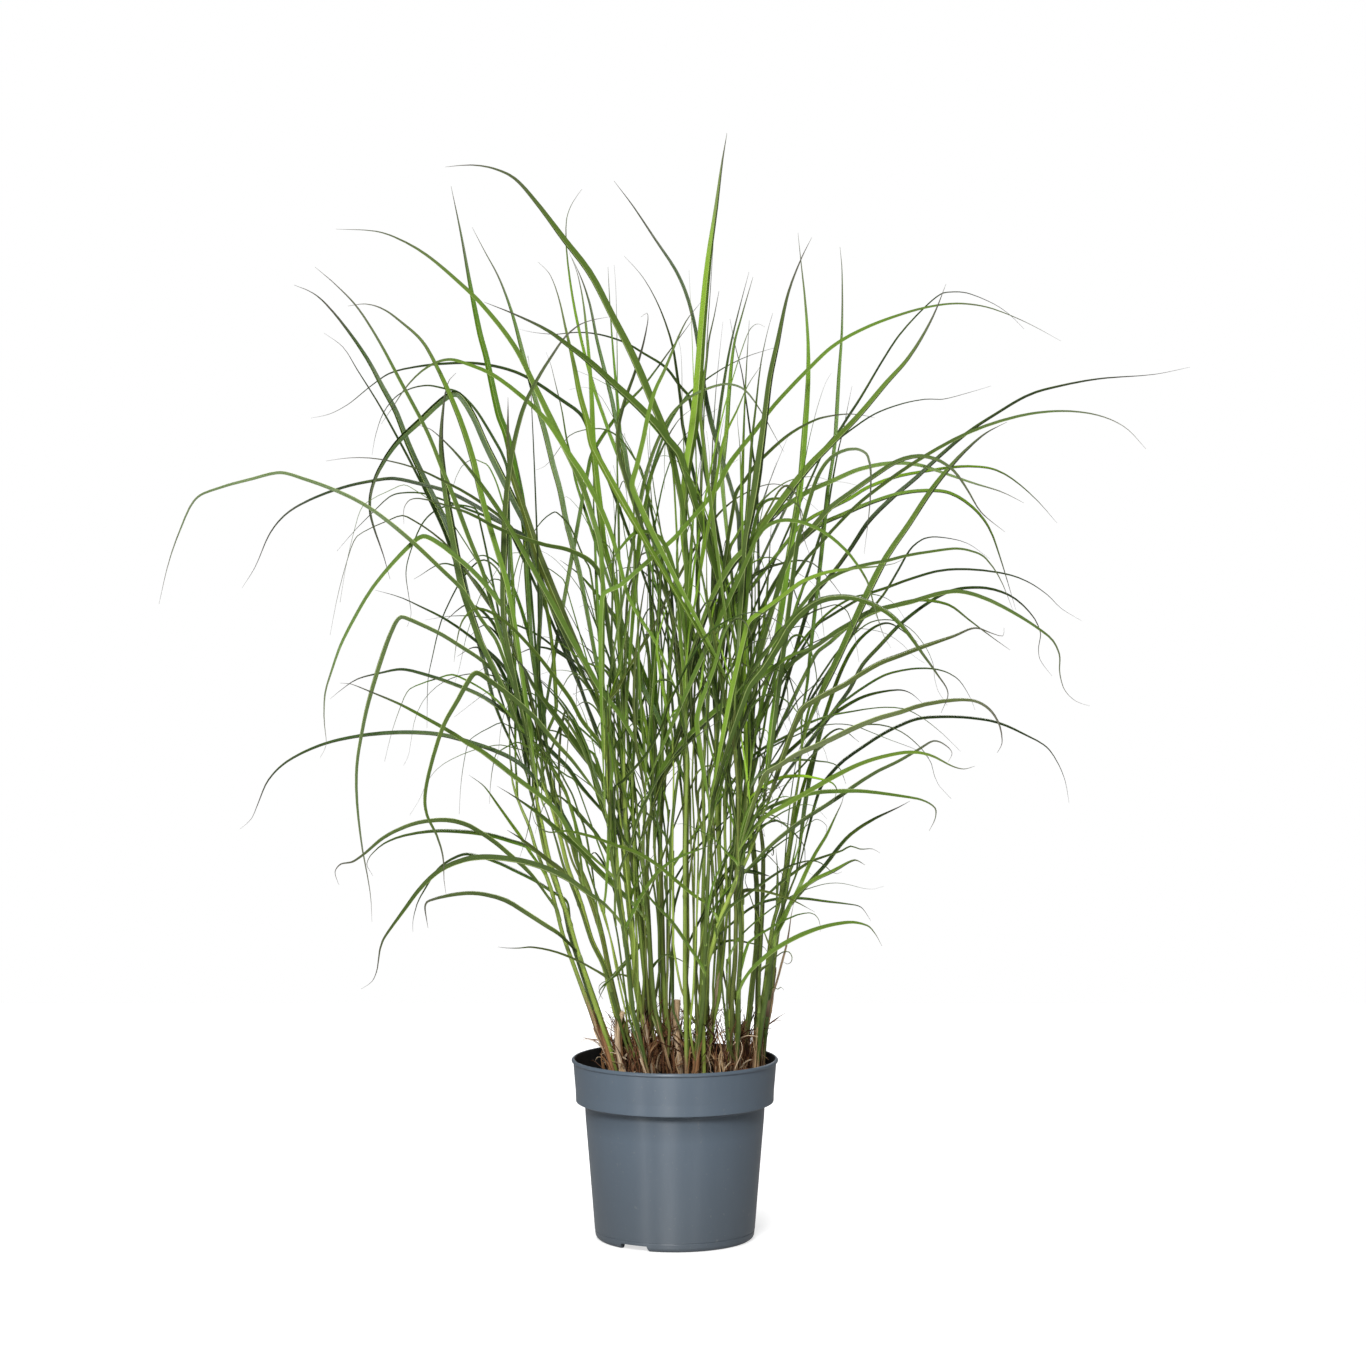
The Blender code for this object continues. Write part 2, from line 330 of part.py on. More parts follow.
def root_culm(pixels, depths):
    """Ends a culm's line where it meets the soil, a little above it."""
    pixels = np.vstack([pixels[0] + 3 * (pixels[0] - pixels[1]), pixels])
    depths = np.concatenate([depths[:1], depths])
    points = placed(pixels, depths) / MM
    heights = [p[2] - soil_height(p[0], p[1]) - GAP - SOIL_ROUGHNESS for p in points]
    first = next(i for i, h in enumerate(heights) if h > 0)
    first = max(1, first)
    low, high = heights[first - 1], heights[first]
    t = -low / (high - low)
    pixel = pixels[first - 1] + t * (pixels[first] - pixels[first - 1])
    depth = depths[first - 1] + t * (depths[first] - depths[first - 1])
    keep = first if t < 0.8 else first + 1
    return np.vstack([pixel, pixels[keep:]]), np.concatenate([[depth], depths[keep:]])


def drawn_culms():
    """The culms that the photo shows, and one behind or before each that it hides."""
    chance = random.Random(SEED)
    culms = []
    for name, tone, (foot, top), route in rows(CULMS):
        line = smooth_line(route, STEP / MM_PER_PIXEL)
        depths = np.linspace(foot, top, len(line))
        culms.append(Strand(name, tone, *root_culm(line, depths), CULM_RADIUS * 2, 0))
    for number, first in enumerate(list(culms)):
        rise = np.linspace(0, 1, len(first.pixels))[:, None]
        side = chance.choice((-1, 1)) * chance.uniform(6, 16)
        back = chance.choice((-1, 1)) * chance.uniform(20, 30)
        if abs(first.depths[0] + back) > 44:
            back = -back
        spread = 1.0 + 1.6 * rise[:, 0]
        line = first.pixels + np.hstack([side * rise**1.5 + 2, 0 * rise])
        keep = max(8, round(len(line) * chance.uniform(0.7, 1.0)))
        depths = first.depths + back * spread
        line, depths = root_culm(np.vstack([line[0] + (0, 9), line])[:keep], np.append(depths[0], depths)[:keep])
        culms.append(Strand("b" + first.name, "g", line, depths, CULM_RADIUS * 2, 0))
    return culms


def drawn_stubs():
    """Dead shoots that were cut or broke off low."""
    stubs = []
    for name, tone, (foot, top, width), route in rows(STUBS):
        line = smooth_line(route, STEP / MM_PER_PIXEL)
        depths = np.linspace(foot, top, len(line))
        stubs.append(Strand(name, tone, *root_culm(line, depths), width, 0))
    return stubs


def join_blade(pixels, lean, culms):
    """The culm that a blade's foot points at, and the place on it where the blade leaves.

    A blade that leans forward is likelier to grow from a culm that stands in front.
    """
    foot = pixels[0]
    way = foot - pixels[min(3, len(pixels) - 1)]
    way = way / np.linalg.norm(way)
    best = (math.inf, None, 0)
    for culm in culms:
        line = culm.pixels
        gaps = line[8:] - foot
        far = np.linalg.norm(gaps, axis=1)
        ways = gaps / np.maximum(far, 1.0)[:, None]
        down = line[7:-1] - line[8:]
        down = down / np.linalg.norm(down, axis=1)[:, None]
        nearness = np.minimum(1, far / NEAR)
        turn_out = np.clip(1 - ways @ way, 0, 2) * nearness
        turn_in = np.clip(1 - (ways * down).sum(axis=1), 0, 2) * nearness
        cost = 0.35 * far + 70 * turn_out + 60 * turn_in + 11 * len(culm.leaves)
        cost -= DEPTH_PULL * culm.depths[8:] * np.clip(lean / 100, -1, 1)
        cost[gaps[:, 1] < -8] = math.inf
        place = int(np.argmin(cost))
        if cost[place] < best[0]:
            best = (cost[place], culm, place + 8)
    return best[1], best[2]


def grow_blade(name, tone, width, shown, lean, pixels, culms):
    """A blade from its sheath on a culm to its tip."""
    culm, place = join_blade(pixels, lean, culms)
    start = culm.pixels[place]
    free = np.linalg.norm(pixels - start, axis=1) > NEAR
    first = int(np.argmax(free))
    line = smooth_line([culm.pixels[place - 2], start, *pixels[first:]], STEP / MM_PER_PIXEL)
    steps = np.linalg.norm(np.diff(line, axis=0), axis=1)
    along = np.concatenate([[0], np.cumsum(steps)])
    most = MOST_LEAN * along[-1] * MM_PER_PIXEL
    lean = min(most, max(-most, DEEPER * lean))
    along = np.clip((along - NEAR) / (along[-1] - NEAR), 0, 1)
    depths = culm.depths[place] + lean * (0.25 * along + 0.75 * along**2)
    blade = Strand(name, tone, line, depths, width, shown, culm)
    blade.joint = place - 1
    culm.leaves.append(blade)
    return blade


def drawn_blades(culms):
    """The blades that the photo shows, each grown from a culm."""
    blades = []
    for name, tone, (width, shown, lean), route in rows(LEAVES):
        pixels = np.array(route[::-1])
        blades.append(grow_blade(name, tone, width, shown * MM_PER_PIXEL, lean, pixels, culms))
    return blades


def heart_blades(culms):
    """Blades that lean back, for the back culms that bear few of the drawn ones."""
    chance = random.Random(SEED + 1)
    bend = [(0, 0), (0.12, 0.3), (0.35, 0.62), (0.7, 0.9), (1.1, 1.0), (1.5, 0.92)]
    blades = []
    for culm in culms:
        roomy = culm.depths[-1] > 0 and culm.name not in CROWDED
        fewest = FEWEST_BLADES if roomy else 1
        for number in range(fewest - len(culm.leaves)):
            top = culm.pixels[-1 - 5 * number]
            side = (top[0] - HEART) / 90 + chance.uniform(-0.6, 0.6)
            rise = chance.uniform(110, 240)
            reach = side * chance.uniform(25, 60)
            route = np.array([(top[0] + reach * x, top[1] - 10 - rise * y) for x, y in bend])
            lean = chance.uniform(90, 160)
            width = chance.uniform(6, 9)
            tone = chance.choice("gdo")
            name = f"{culm.name}h{number}"
            blades.append(grow_blade(name, tone, width, width * 0.7, lean, route, [culm]))
    return blades


def taper(strand):
    """A blade's half width at each place, in mm."""
    u = np.linspace(0, 1, len(strand.depths))
    full = np.interp(u, [0, 0.04, 0.1, 0.2, 0.5, 0.8, 1], [0.2, 0.3, 0.65, 0.9, 1, 0.6, 0])
    return np.maximum(strand.width / 2 * full, BLADE_TIP_WIDTH / 2)


def facing(strand):
    """How squarely a blade shows its face at each place, from 0 to 1, less where it bends sideways."""
    line = strand.pixels * MM_PER_PIXEL
    ways = np.gradient(line, axis=0)
    ways = ways / np.linalg.norm(ways, axis=1)[:, None]
    turning = np.linalg.norm(np.gradient(ways, axis=0), axis=1) / STEP
    full = min(1.0, strand.shown / strand.width)
    face = np.minimum(full, SIDEWAYS / np.maximum(turning, 1e-6) / taper(strand))
    padded = np.pad(face, 2, mode="edge")
    return np.mean([padded[k : k + len(face)] for k in range(5)], axis=0)


def extents(strand):
    """Half of what a strand takes across and along the sight line at each place, in mm."""
    if strand.culm is None:
        thick = np.full(len(strand.depths), strand.width / 2)
        return thick, thick
    half, face = taper(strand), facing(strand)
    return half * face + 0.6, half * np.sqrt(1 - face**2) + KEEL_ROOM


def blurred(values, before, after, passes):
    """Values spread along their strands."""
    for _ in range(passes):
        values = 0.5 * values + 0.25 * (values[before] + values[after])
    return values


class Spacing:
    """Sets strands apart by moving them along the sight line, which keeps the view as it is.

    loose says how freely each place of a strand moves, and spread how far along the strand it pulls.
    """

    def __init__(self, strands, loose, spread):
        self.strands, self.spread = strands, spread
        counts = [len(s.depths) for s in strands]
        self.depths = np.concatenate([s.depths for s in strands])
        self.rest = self.depths.copy()
        self.free = np.concatenate([loose(s) for s in strands])
        own = {id(s): i for i, s in enumerate(strands)}
        rank = np.repeat(np.arange(len(strands)), counts)
        family = np.repeat([own[id(s.culm or s)] for s in strands], counts)
        place = np.concatenate([np.arange(count) for count in counts])
        self.ends = np.cumsum(counts)
        self.before = np.maximum(np.arange(len(place)) - 1, 0)
        self.after = np.minimum(np.arange(len(place)) + 1, len(place) - 1)
        self.before[place == 0] += 1
        self.after[self.ends - 1] -= 1
        one, two, far = self.neighbours()
        across, deep = (np.concatenate(sizes) for sizes in zip(*map(extents, strands)))
        room = across[one] + across[two] + CLEARANCE + STEP / 2
        foot = np.where(family == rank, JOINT, place) < JOINT
        kin = (family[one] == family[two]) & (foot[one] | foot[two])
        kin |= (rank[one] == rank[two]) & (np.abs(place[one] - place[two]) < 6)
        matter = ~kin & (far < room) & (self.free[one] + self.free[two] > 0)
        self.one, self.two, far, room = one[matter], two[matter], far[matter], room[matter]
        self.need = (deep[self.one] + deep[self.two] + CLEARANCE) * np.sqrt(1 - (far / room) ** 2)
        stem = np.where(place < JOINT + 2, family, rank)
        low = np.minimum(stem[self.one], stem[self.two])
        high = np.maximum(stem[self.one], stem[self.two])
        self.turned = np.where(stem[self.one] == low, 1.0, -1.0)
        self.pairs, self.group = np.unique(low * len(strands) + high, return_inverse=True)

    def neighbours(self):
        """Pairs of places that lie near each other in the photo, and how far apart in mm."""
        pixels = np.vstack([s.pixels for s in self.strands])
        tree = kdtree.KDTree(len(pixels))
        for index, (x, y) in enumerate(pixels):
            tree.insert((x, y, 0), index)
        tree.balance()
        near = []
        for index, (x, y) in enumerate(pixels):
            found = tree.find_range((x, y, 0), REACH / MM_PER_PIXEL)
            near += [(index, other, far) for _, other, far in found if other > index]
        one, two, far = (np.array(column) for column in zip(*near))
        return one.astype(int), two.astype(int), far * MM_PER_PIXEL

    def order(self):
        """Which of each pair lies behind, from where they are: 1 for the first, -1 for the second."""
        gap = self.depths[self.one] - self.depths[self.two]
        stiff = np.where(self.free[self.one] * self.free[self.two] < 0.3, 7, 1)
        mean = np.bincount(self.group, self.turned * stiff * gap / (5 + np.abs(gap)))
        return np.where(mean >= 0, 1.0, -1.0)

    def ease(self, depths, order, rounds):
        """The depths after some rounds of pushing apart, and how much room each pair still lacks."""
        one, two = self.one, self.two
        sign = order[self.group] * self.turned
        total = self.free[one] + self.free[two]
        for _ in range(rounds):
            slope = np.minimum(1.5, np.abs(depths[self.after] - depths[self.before]) / (2 * STEP))
            wanted = self.need * (1 + 0.4 * (slope[one] + slope[two]))
            lack = wanted - sign * (depths[one] - depths[two])
            short = lack > 0
            push = (sign * lack / total)[short]
            a, b = one[short], two[short]
            moved = np.bincount(a, push * self.free[a], len(depths))
            moved -= np.bincount(b, push * self.free[b], len(depths))
            count = np.bincount(a, None, len(depths)) + np.bincount(b, None, len(depths))
            touched = blurred((count > 0) * 1.0, self.before, self.after, self.spread)
            moved = blurred(moved / np.maximum(count, 1), self.before, self.after, self.spread)
            depths = depths + 0.8 * self.free * moved / (touched + 0.12)
            shift = depths - self.rest
            eased = blurred(shift, self.before, self.after, 3)
            depths = depths + STIFFNESS * self.free * (eased - shift)
        return depths, self.need - sign * (depths[one] - depths[two])

    def settle(self, rounds, tries):
        """Eases the strands apart, and tries pairs the other way round while some lack room."""
        chance = random.Random(SEED + 2)
        order = self.order()
        self.depths, lack = self.ease(self.depths, order, rounds)
        score = np.maximum(0, lack - CLEARANCE / 2).sum()
        for _ in range(tries):
            if score < 2:
                break
            worst = np.zeros(len(self.pairs))
            np.maximum.at(worst, self.group, lack)
            bad = np.nonzero(worst > CLEARANCE / 2)[0].tolist()
            swapped = chance.sample(bad, min(len(bad), chance.choice((1, 1, 1, 2, 3))))
            trial = order.copy()
            trial[swapped] *= -1
            depths, left = self.ease(self.depths, trial, 70)
            new_score = np.maximum(0, left - CLEARANCE / 2).sum()
            if new_score < score * 0.995:
                self.depths, lack, score, order = depths, left, new_score, trial
        for strand, end in zip(self.strands, self.ends):
            strand.depths = self.depths[end - len(strand.depths) : end].copy()


def looseness(strand):
    """How freely each place moves once the culms stand: a culm not at all, a blade past its foot."""
    if strand.culm is None:
        return np.zeros(len(strand.depths))
    return np.clip((np.arange(len(strand.depths)) - 3) / 8, 0, 1)


def grow_plant():
    """Every culm, stub and blade, clear of one another."""
    culms, stubs = drawn_culms(), drawn_stubs()
    Spacing(culms + stubs, lambda strand: np.ones(len(strand.depths)), 24).settle(400, 60)
    for strand in culms + stubs:
        strand.pixels, strand.depths = root_culm(strand.pixels, strand.depths)
    blades = drawn_blades(culms) + heart_blades(culms)
    Spacing(culms + stubs + blades, looseness, 8).settle(500, 120)
    return culms, stubs, blades


def unit(vectors):
    """Vectors scaled to a length of 1."""
    return vectors / np.maximum(np.linalg.norm(vectors, axis=-1, keepdims=True), 1e-12)


def frames(points, face, lean):
    """Directions along a blade: forward, across it, and out of its upper side."""
    forward = unit(np.gradient(points, axis=0))
    to_eye = unit(EYE_AT - points)
    across = unit(np.cross(forward, to_eye))
    out = np.cross(across, forward)
    bend = forward[-1] - forward[0]
    leftward = 1.0 if bend @ RIGHT < 0 else -1.0
    shows_top = 1.0 if lean > 0 else -1.0
    edge = np.sqrt(1 - face**2)[:, None]
    face = face[:, None]
    wide = face * across - leftward * shows_top * edge * out
    upper = shows_top * face * out + leftward * edge * across
    return forward, wide, upper


def stations(points, tolerance):
    """Places to keep on a line, so that straight runs between them stay within the tolerance."""
    kept = [0, len(points) - 1]
    checked = 0
    while checked < len(kept) - 1:
        first, last = kept[checked], kept[checked + 1]
        chord = points[last] - points[first]
        offset = points[first : last + 1] - points[first]
        along = np.clip(offset @ chord / max(chord @ chord, 1e-12), 0, 1)
        stray = np.linalg.norm(offset - along[:, None] * chord, axis=1)
        if stray.max() > tolerance * MM:
            kept.insert(checked + 1, first + int(np.argmax(stray)))
        else:
            checked += 1
    return kept


def loft(name, sections):
    """A closed mesh through sections that all have the same number of corners."""
    body = bmesh.new()
    rings = [[body.verts.new(corner) for corner in section] for section in sections]
    for low, high in zip(rings, rings[1:]):
        for k in range(len(low)):
            n = (k + 1) % len(low)
            body.faces.new((low[k], low[n], high[n], high[k]))
    body.faces.new(rings[0][::-1])
    body.faces.new(rings[-1])
    bmesh.ops.triangulate(body, faces=body.faces[:])
    if body.calc_volume(signed=True) < 0:
        bmesh.ops.reverse_faces(body, faces=body.faces[:])
    mesh = bpy.data.meshes.new(name)
    body.to_mesh(mesh)
    body.free()
    return mesh


def culm_mesh(culm):
    """A tapering stem."""
    points = culm.points()
    kept = stations(points, CULM_TOLERANCE)
    forward = unit(np.gradient(points, axis=0))
    side = unit(np.cross(forward, (0, 1, 0)))
    front = np.cross(side, forward)
    foot, top = culm.width / 2, culm.width / 2 * CULM_TOP
    sections = []
    for k in kept:
        radius = (foot + (top - foot) * k / kept[-1]) * MM
        turns = [2 * math.pi * n / CULM_SIDES for n in range(CULM_SIDES)]
        level = k == 0
        a, b = (-RIGHT, np.array((0, 1, 0))) if level else (side[k], front[k])
        sections.append([points[k] + radius * (math.cos(t) * a + math.sin(t) * b) for t in turns])
    return loft(culm.name, sections)


def rooted(points, blade):
    """A blade's points, with its foot moved onto the culm's straight runs."""
    stem = blade.culm.points()
    kept = stations(stem, CULM_TOLERANCE)
    shift = np.zeros_like(points)
    turn = 2.4 * blade.culm.leaves.index(blade)
    aside = np.array((math.cos(turn), math.sin(turn), 0.7)) * FOOT_ASIDE * MM
    for k in range(ROOTED):
        place = min(blade.joint - 1 + k, len(stem) - 1)
        on_culm = [np.interp(place, kept, stem[kept, axis]) for axis in range(3)]
        shift[k] = np.array(on_culm) - points[k] + aside
    for k in range(ROOTED, ROOTED + 4):
        shift[k] = shift[ROOTED - 1] * (ROOTED + 4 - k) / 5
    return points + shift


def blade_mesh(blade):
    """A blade with a keel under its middle."""
    points = blade.points()
    half, face = taper(blade), facing(blade)
    _, wide, upper = frames(points, face, blade.lean())
    points = rooted(points, blade)
    kept = stations(points, BLADE_TOLERANCE)
    sections = []
    for k in kept:
        keel = max(BLADE_TIP_KEEL, KEEL_SLOPE * half[k]) * MM
        reach = wide[k] * half[k] * MM
        sections.append([points[k] + reach, points[k] - reach, points[k] - upper[k] * keel])
    return loft(blade.name, sections)


def clear_scene():
    """Removes what the scene holds."""
    for thing in list(bpy.data.objects):
        bpy.data.objects.remove(thing, do_unlink=True)


def material(name, colour, roughness, metallic=0.0):
    """A plain material."""
    made = bpy.data.materials.new(name)
    made.use_nodes = True
    shader = made.node_tree.nodes["Principled BSDF"]
    shader.inputs["Base Color"].default_value = (*colour, 1.0)
    shader.inputs["Roughness"].default_value = roughness
    shader.inputs["Metallic"].default_value = metallic
    return made


def add(name, mesh, collection, look=None):
    """An object of a mesh, in a collection."""
    thing = bpy.data.objects.new(name, mesh)
    collection.objects.link(thing)
    if look:
        mesh.materials.append(look)
    else:
        thing.hide_render = True
        thing.display_type = "WIRE"
    return thing


def boolean(thing, other, operation, solver="EXACT"):
    """Cuts or joins another object."""
    cut = thing.modifiers.new(other.name, "BOOLEAN")
    cut.operation = operation
    cut.object = other
    cut.solver = solver


def turned(thing, sides):
    """Turns a profile about the upright axis."""
    screw = thing.modifiers.new("turned", "SCREW")
    screw.steps = sides
    screw.render_steps = sides
    screw.use_merge_vertices = True
    screw.merge_threshold = 0.00001
    screw.use_smooth_shade = True


def profile_mesh(name, corners):
    """A chain of edges through (radius, height) corners in mm."""
    mesh = bpy.data.meshes.new(name)
    points = [(radius * MM, 0, height * MM) for radius, height in corners]
    mesh.from_pydata(points, [(k, k + 1) for k in range(len(points) - 1)], [])
    return mesh


def inner_wall():
    """The pot's inner side as (radius, height) corners in mm, from the floor up."""
    return [
        (BODY_FOOT_RADIUS - WALL, FLOOR_UNDERSIDE + FLOOR),
        (BODY_TOP_RADIUS - WALL, BODY_TOP_HEIGHT - 0.6),
        (COLLAR_FOOT_RADIUS - WALL, COLLAR_FOOT_HEIGHT),
        (COLLAR_TOP_RADIUS - WALL, RIM_HEIGHT - LIP_HEIGHT),
    ]


def pot_profile():
    """The pot's whole section, from the middle of its floor round to the middle of its underside."""
    ring = BODY_FOOT_RADIUS - FOOT_ROUNDING - FOOT_RING
    lip = [
        (RIM_RADIUS - 2.4, RIM_HEIGHT - 0.8),
        (RIM_RADIUS - 1.3, RIM_HEIGHT),
        (RIM_RADIUS - 0.2, RIM_HEIGHT - 0.9),
        (RIM_RADIUS, RIM_HEIGHT - LIP_HEIGHT * 0.6),
        (COLLAR_TOP_RADIUS, RIM_HEIGHT - LIP_HEIGHT),
    ]
    outside = [
        (COLLAR_FOOT_RADIUS, COLLAR_FOOT_HEIGHT),
        (BODY_TOP_RADIUS, BODY_TOP_HEIGHT),
        (BODY_FOOT_RADIUS, FOOT_ROUNDING),
        (BODY_FOOT_RADIUS - 0.3 * FOOT_ROUNDING, 0.3 * FOOT_ROUNDING),
        (BODY_FOOT_RADIUS - FOOT_ROUNDING, 0),
    ]
    below = [(ring, 0), (ring, FLOOR_UNDERSIDE), (HUB_RADIUS, FLOOR_UNDERSIDE), (HUB_RADIUS, 0), (0, 0)]
    return [(0, FLOOR_UNDERSIDE + FLOOR), *inner_wall(), *lip, *outside, *below]


def block(name, corners, collection):
    """A box primitive whose corners are moved by a rule, as a cutter."""
    bpy.ops.mesh.primitive_cube_add(size=1)
    made = bpy.context.object
    made.name = name
    for corner in made.data.vertices:
        corner.co = corners(corner.co)
    for owner in list(made.users_collection):
        owner.objects.unlink(made)
    collection.objects.link(made)
    made.hide_render = True
    made.display_type = "WIRE"
    return made


def notch(collection, number):
    """A slanted notch through the foot ring."""

    def corner(place):
        half = NOTCH_WIDTH / 2 + (NOTCH_SLANT if place.z < 0 else 0)
        height = NOTCH_HEIGHT if place.z > 0 else -BELOW
        radius = BODY_FOOT_RADIUS + NOTCH_REACH_OUT * (place.x + 0.5) - NOTCH_REACH_IN * (0.5 - place.x)
        return Vector((radius, 2 * place.y * half, height)) * MM

    made = block(f"notch_{number}", corner, collection)
    made.rotation_euler.z = math.radians(NOTCH_TURN - 90 + 360 * number / NOTCHES)
    return made


def rib(collection, number):
    """A rib under the floor, from the hub to the foot ring."""
    inner, outer = HUB_RADIUS - RIB_IN_HUB, BODY_FOOT_RADIUS - FOOT_ROUNDING - FOOT_RING + RIB_IN_RING

    def corner(place):
        radius = outer if place.x > 0 else inner
        height = FLOOR_UNDERSIDE + RIB_LAP if place.z > 0 else RIB_UNDERSIDE
        return Vector((radius, place.y * RIB, height)) * MM

    made = block(f"rib_{number}", corner, collection)
    made.rotation_euler.z = math.radians(NOTCH_TURN - 45 + 360 * number / DRAINS)
    return made


def drain(collection, number):
    """A drain hole through the floor."""
    turn = math.radians(NOTCH_TURN - 90 + 360 * number / DRAINS)
    middle = FLOOR_UNDERSIDE + FLOOR / 2
    spot = Vector((DRAIN_RING * math.cos(turn), DRAIN_RING * math.sin(turn), middle)) * MM
    bpy.ops.mesh.primitive_cylinder_add(
        vertices=DRAIN_SIDES, radius=DRAIN_RADIUS * MM, depth=DRAIN_LENGTH * MM, location=spot
    )
    made = bpy.context.object
    made.name = f"drain_{number}"
    for owner in list(made.users_collection):
        owner.objects.unlink(made)
    collection.objects.link(made)
    made.hide_render = True
    made.display_type = "WIRE"
    return made


def build_pot(parts, cutters):
    """The nursery pot."""
    look = material("pot_plastic", (0.157, 0.191, 0.231), 0.42)
    pot = add("pot", profile_mesh("pot", pot_profile()), parts, look)
    turned(pot, POT_SIDES)
    for number in range(DRAINS):
        boolean(pot, rib(cutters, number), "UNION")
    for number in range(NOTCHES):
        boolean(pot, notch(cutters, number), "DIFFERENCE")
    for number in range(DRAINS):
        boolean(pot, drain(cutters, number), "DIFFERENCE")


def build_soil(parts):
    """The root ball with its rough top."""
    base = FLOOR_UNDERSIDE + FLOOR + GAP
    wall = inner_wall()
    edge = np.interp(SOIL_EDGE_HEIGHT, [z for _, z in wall], [r for r, _ in wall]) - GAP
    side = [(wall[2][0] - GAP, wall[2][1]), (wall[1][0] - GAP, wall[1][1]), (wall[0][0] - GAP, base)]
    top = [(r, soil_height(r, 0)) for r in SOIL_RINGS]
    corners = [*top, (edge, SOIL_EDGE_HEIGHT - 1.5), *side, (0, base)]
    soil = add("soil", profile_mesh("soil", corners), parts)
    turned(soil, POT_SIDES)
    graph = bpy.context.evaluated_depsgraph_get()
    solid = bpy.data.meshes.new_from_object(soil.evaluated_get(graph))
    bpy.data.objects.remove(soil, do_unlink=True)
    chance = random.Random(SEED + 3)
    for corner in solid.vertices:
        radius = math.hypot(corner.co.x, corner.co.y) / MM
        if corner.co.z / MM > SOIL_EDGE_HEIGHT - 1 and 1 < radius < SOIL_SMOOTH_EDGE:
            corner.co.z += chance.uniform(-2, 1) * SOIL_ROUGHNESS * 0.6 * MM
    add("soil", solid, parts, material("peat", (0.032, 0.014, 0.007), 0.95))


def islands(body):
    """The separate pieces of a mesh, each as a set of corners."""
    left, found = set(body.verts), []
    while left:
        front = [left.pop()]
        piece = set(front)
        while front:
            corner = front.pop()
            near = {edge.other_vert(corner) for edge in corner.link_edges} & left
            left -= near
            piece |= near
            front += near
        found.append(piece)
    return found


def keep_largest(mesh):
    """Drops the slivers and the closed bubbles that crossing blades leave."""
    body = bmesh.new()
    body.from_mesh(mesh)
    pieces = sorted(islands(body), key=len)
    for piece in pieces[:-1]:
        bmesh.ops.delete(body, geom=list(piece), context="VERTS")
    body.to_mesh(mesh)
    body.free()


def joined(stem, blades):
    """The union of a stem and its blades, by the second solver where the first loses the shape."""
    for solver in ("EXACT", "MANIFOLD"):
        stem.modifiers.clear()
        for blade in blades:
            boolean(stem, blade, "UNION", solver)
        graph = bpy.context.evaluated_depsgraph_get()
        mesh = bpy.data.meshes.new_from_object(stem.evaluated_get(graph))
        if len(mesh.vertices) > 0.8 * sum(len(blade.data.vertices) for blade in blades):
            break
    return mesh


def build_tiller(number, culm, parts, cutters):
    """A culm with its blades, grown together."""
    name = f"tiller_{number:02d}"
    look = material(f"{name}_green", TONES[culm.tone], 0.5)
    stem = add(name, culm_mesh(culm), parts, look)
    blades = [add(f"blade_{blade.name}", blade_mesh(blade), cutters) for blade in culm.leaves]
    mesh = joined(stem, blades)
    for used in [stem, *blades]:
        bpy.data.objects.remove(used, do_unlink=True)
    keep_largest(mesh)
    tiller = bpy.data.objects.new(name, mesh)
    parts.objects.link(tiller)


def main():
    clear_scene()
    parts = bpy.data.collections.new("potted_ornamental_grass")
    cutters = bpy.data.collections.new("cutters")
    for collection in (parts, cutters):
        bpy.context.scene.collection.children.link(collection)
    build_pot(parts, cutters)
    build_soil(parts)
    culms, stubs, _ = grow_plant()
    for number, culm in enumerate(culms, 1):
        build_tiller(number, culm, parts, cutters)
    for number, stub in enumerate(stubs, 1):
        look = material(f"straw_stub_{number}_tan", TONES["s"], 0.7)
        add(f"straw_stub_{number}", culm_mesh(stub), parts, look)


main()
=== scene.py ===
# %% [markdown]
# # A potted ornamental grass clump
#
# A slate-grey nursery pot holds dark peat, and 38 upright culms rise from it and fan out. Each culm
# bears a few long narrow leaves that arch over and end in hair-thin tips. The frame below brings in
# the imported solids, and every piece made here stands where its solid stands.

import math
import random

import bpy
import numpy as np
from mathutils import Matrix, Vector, kdtree, noise


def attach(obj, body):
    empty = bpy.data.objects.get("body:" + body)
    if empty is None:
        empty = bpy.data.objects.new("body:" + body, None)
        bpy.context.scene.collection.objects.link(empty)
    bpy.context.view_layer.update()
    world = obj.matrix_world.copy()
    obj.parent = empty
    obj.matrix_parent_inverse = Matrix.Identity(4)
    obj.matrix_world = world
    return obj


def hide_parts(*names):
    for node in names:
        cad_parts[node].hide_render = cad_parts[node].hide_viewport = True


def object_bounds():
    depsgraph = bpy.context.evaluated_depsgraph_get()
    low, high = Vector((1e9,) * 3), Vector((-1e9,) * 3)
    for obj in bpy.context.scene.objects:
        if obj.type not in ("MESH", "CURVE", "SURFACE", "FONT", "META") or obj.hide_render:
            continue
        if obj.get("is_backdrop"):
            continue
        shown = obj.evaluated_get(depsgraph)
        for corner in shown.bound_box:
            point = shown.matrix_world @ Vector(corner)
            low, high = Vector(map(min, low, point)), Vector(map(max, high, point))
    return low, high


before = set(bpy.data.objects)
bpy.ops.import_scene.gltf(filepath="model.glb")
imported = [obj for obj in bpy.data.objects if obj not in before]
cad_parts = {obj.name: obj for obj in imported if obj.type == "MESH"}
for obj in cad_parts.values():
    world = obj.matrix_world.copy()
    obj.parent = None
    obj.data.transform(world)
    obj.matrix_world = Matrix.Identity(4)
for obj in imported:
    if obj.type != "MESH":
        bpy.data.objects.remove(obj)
cad_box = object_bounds()
MM = 0.001
print("solids in the frame:", len(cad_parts))

